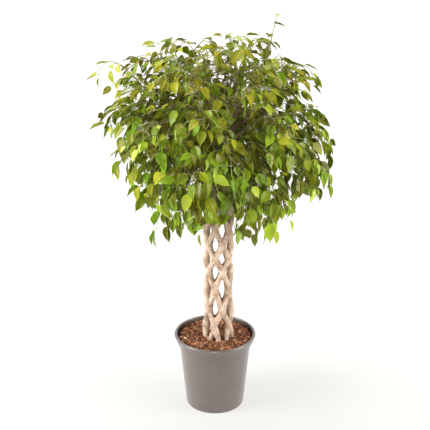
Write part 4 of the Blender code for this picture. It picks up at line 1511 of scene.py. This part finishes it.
def pot_finish():
    """Warm-grey moulded plastic: satin, with a fine mould grain and cloudy scuffs."""
    made = Finish("warm_grey_plastic", 0.32, 0.8)
    place = made.place()
    clouds = made.noise(place, 11.0)
    scuffs = made.noise(made.place((1, 1, 0.25)), 90.0, 4.0)
    grain = made.noise(place, 1400.0, 2.0)
    base = made.ramp(clouds, ((0.25, (0.082, 0.062, 0.054)), (0.80, (0.104, 0.080, 0.069))))
    made.colour(made.blend(made.stretch(scuffs, 0.62, 0.80, 0.0, 0.20), base, (0.26, 0.215, 0.195)))
    made.feed(made.shader.inputs["Roughness"], made.stretch(clouds, 0.2, 0.8, 0.26, 0.38))
    made.bump(grain, 0.00025, 0.5)
    made.shader.inputs["Coat Weight"].default_value = 0.75
    made.shader.inputs["Coat Roughness"].default_value = 0.16
    return made.material


# Studio

CAMERA_BACK = 3.0
CAMERA_HEIGHT = 1.862
CAMERA_PITCH = 19.63
SENSOR = 36
CAMERA_LENS = SENSOR * 847.2 / 430
FLOOR_FRONT, FLOOR_BACK = -6.0, 4.4
FLOOR_HALF_WIDTH = 7.0
SWEEP = 1.6


def make_stage():
    """A pale floor that sweeps up behind in one curve: straight, a quarter circle, straight.

    It glows, more so towards the back, as a lit backdrop does: painted light, which gives most of its
    brightness and keeps the shadows on it faint.
    """
    turn = np.radians(np.arange(6, 90, 6))
    curve = np.vstack((
        ((FLOOR_FRONT, 0.0), (FLOOR_BACK, 0.0)),
        np.stack((FLOOR_BACK + SWEEP * np.sin(turn), SWEEP - SWEEP * np.cos(turn)), axis=1),
        ((FLOOR_BACK + SWEEP, SWEEP), (FLOOR_BACK + SWEEP, 7.0)),
    ))
    rows = len(curve)
    edges = (-FLOOR_HALF_WIDTH, FLOOR_HALF_WIDTH)
    points = np.concatenate([np.column_stack((np.full(rows, x), curve)) for x in edges])
    i = np.arange(rows - 1)
    faces = np.stack((i, i + rows, i + rows + 1, i + 1), axis=1)
    mesh = bpy.data.meshes.new("studio_floor")
    mesh.from_pydata(points.tolist(), [], faces.tolist())
    mesh.shade_smooth()
    made = Finish("studio_white", 0.9, 0.1)
    made.shader.inputs["Base Color"].default_value = (0.17, 0.167, 0.161, 1)
    made.shader.inputs["Emission Color"].default_value = (1.0, 0.985, 0.96, 1)
    # Painted light: a dark floor that glows, more so towards the back.
    back = made.split(made.place())[1]
    made.feed(made.shader.inputs["Emission Strength"], made.stretch(back, -1.0, 2.5, 0.53, 0.97))
    mesh.materials.append(made.material)
    floor = linked("studio_floor", mesh)


def add_light(name, place, target, size, power):
    """A square soft light that looks at a point."""
    lamp = bpy.data.lights.new(name, "AREA")
    lamp.size = size
    lamp.energy = power
    made = linked(name, lamp)
    made.location = place
    way = np.array(target) - np.array(place)
    level = math.hypot(way[0], way[1])
    made.rotation_euler = (math.atan2(level, -way[2]), 0, math.atan2(way[1], way[0]) - math.pi / 2)


def make_studio():
    """Surroundings that are white behind and dimmer in front, four soft lights, and the camera."""
    scene = bpy.context.scene
    scene.view_settings.view_transform = "Standard"
    scene.view_settings.look = "None"
    world = bpy.data.worlds.new("studio_air")
    world.use_nodes = True
    tree = world.node_tree
    air = tree.nodes["Background"]
    split = tree.nodes.new("ShaderNodeSeparateXYZ")
    tree.links.new(tree.nodes.new("ShaderNodeTexCoord").outputs["Object"], split.inputs[0])
    dimmed = tree.nodes.new("ShaderNodeMapRange")
    tree.links.new(split.outputs[1], dimmed.inputs[0])
    for socket, value in zip(dimmed.inputs[1:], (-1.0, 0.3, 0.17, 0.75)):
        socket.default_value = value
    tree.links.new(dimmed.outputs[0], air.inputs["Strength"])
    air.inputs["Color"].default_value = (1.0, 0.99, 0.965, 1)
    scene.world = world
    for name, place, height, size, power in (
        ("left_softbox", (-3.0, -0.9, 2.0), 0.95, 2.0, 215),
        ("right_softbox", (3.0, -0.9, 1.9), 0.95, 2.0, 148),
        ("top_softbox", (-0.3, 0.3, 3.4), 1.0, 1.3, 62),
        ("low_softbox", (-0.2, -3.0, 0.35), 0.95, 1.0, 55),
    ):
        add_light(name, place, (0, 0, height), size, power)
    lens = bpy.data.cameras.new("camera")
    lens.lens = CAMERA_LENS
    lens.sensor_width = SENSOR
    camera = linked("camera", lens)
    camera.location = (0, -CAMERA_BACK, CAMERA_HEIGHT)
    camera.rotation_euler = (math.radians(90 - CAMERA_PITCH), 0, 0)
    scene.camera = camera


def main():
    stems, forks, carried = bough_plan()
    placed = Clearing()
    place_wood(stems, forks, placed)
    sprays = plain_sprays(carried, placed)
    fill_crown(sprays, stems, forks, placed)
    make_foliage(sprays, leaf_finish(), twig_finish())
    make_wood(stems, forks, bark_finish())
    make_pot(pot_finish())
    make_soil(soil_finish())
    make_stage()
    make_studio()


main()
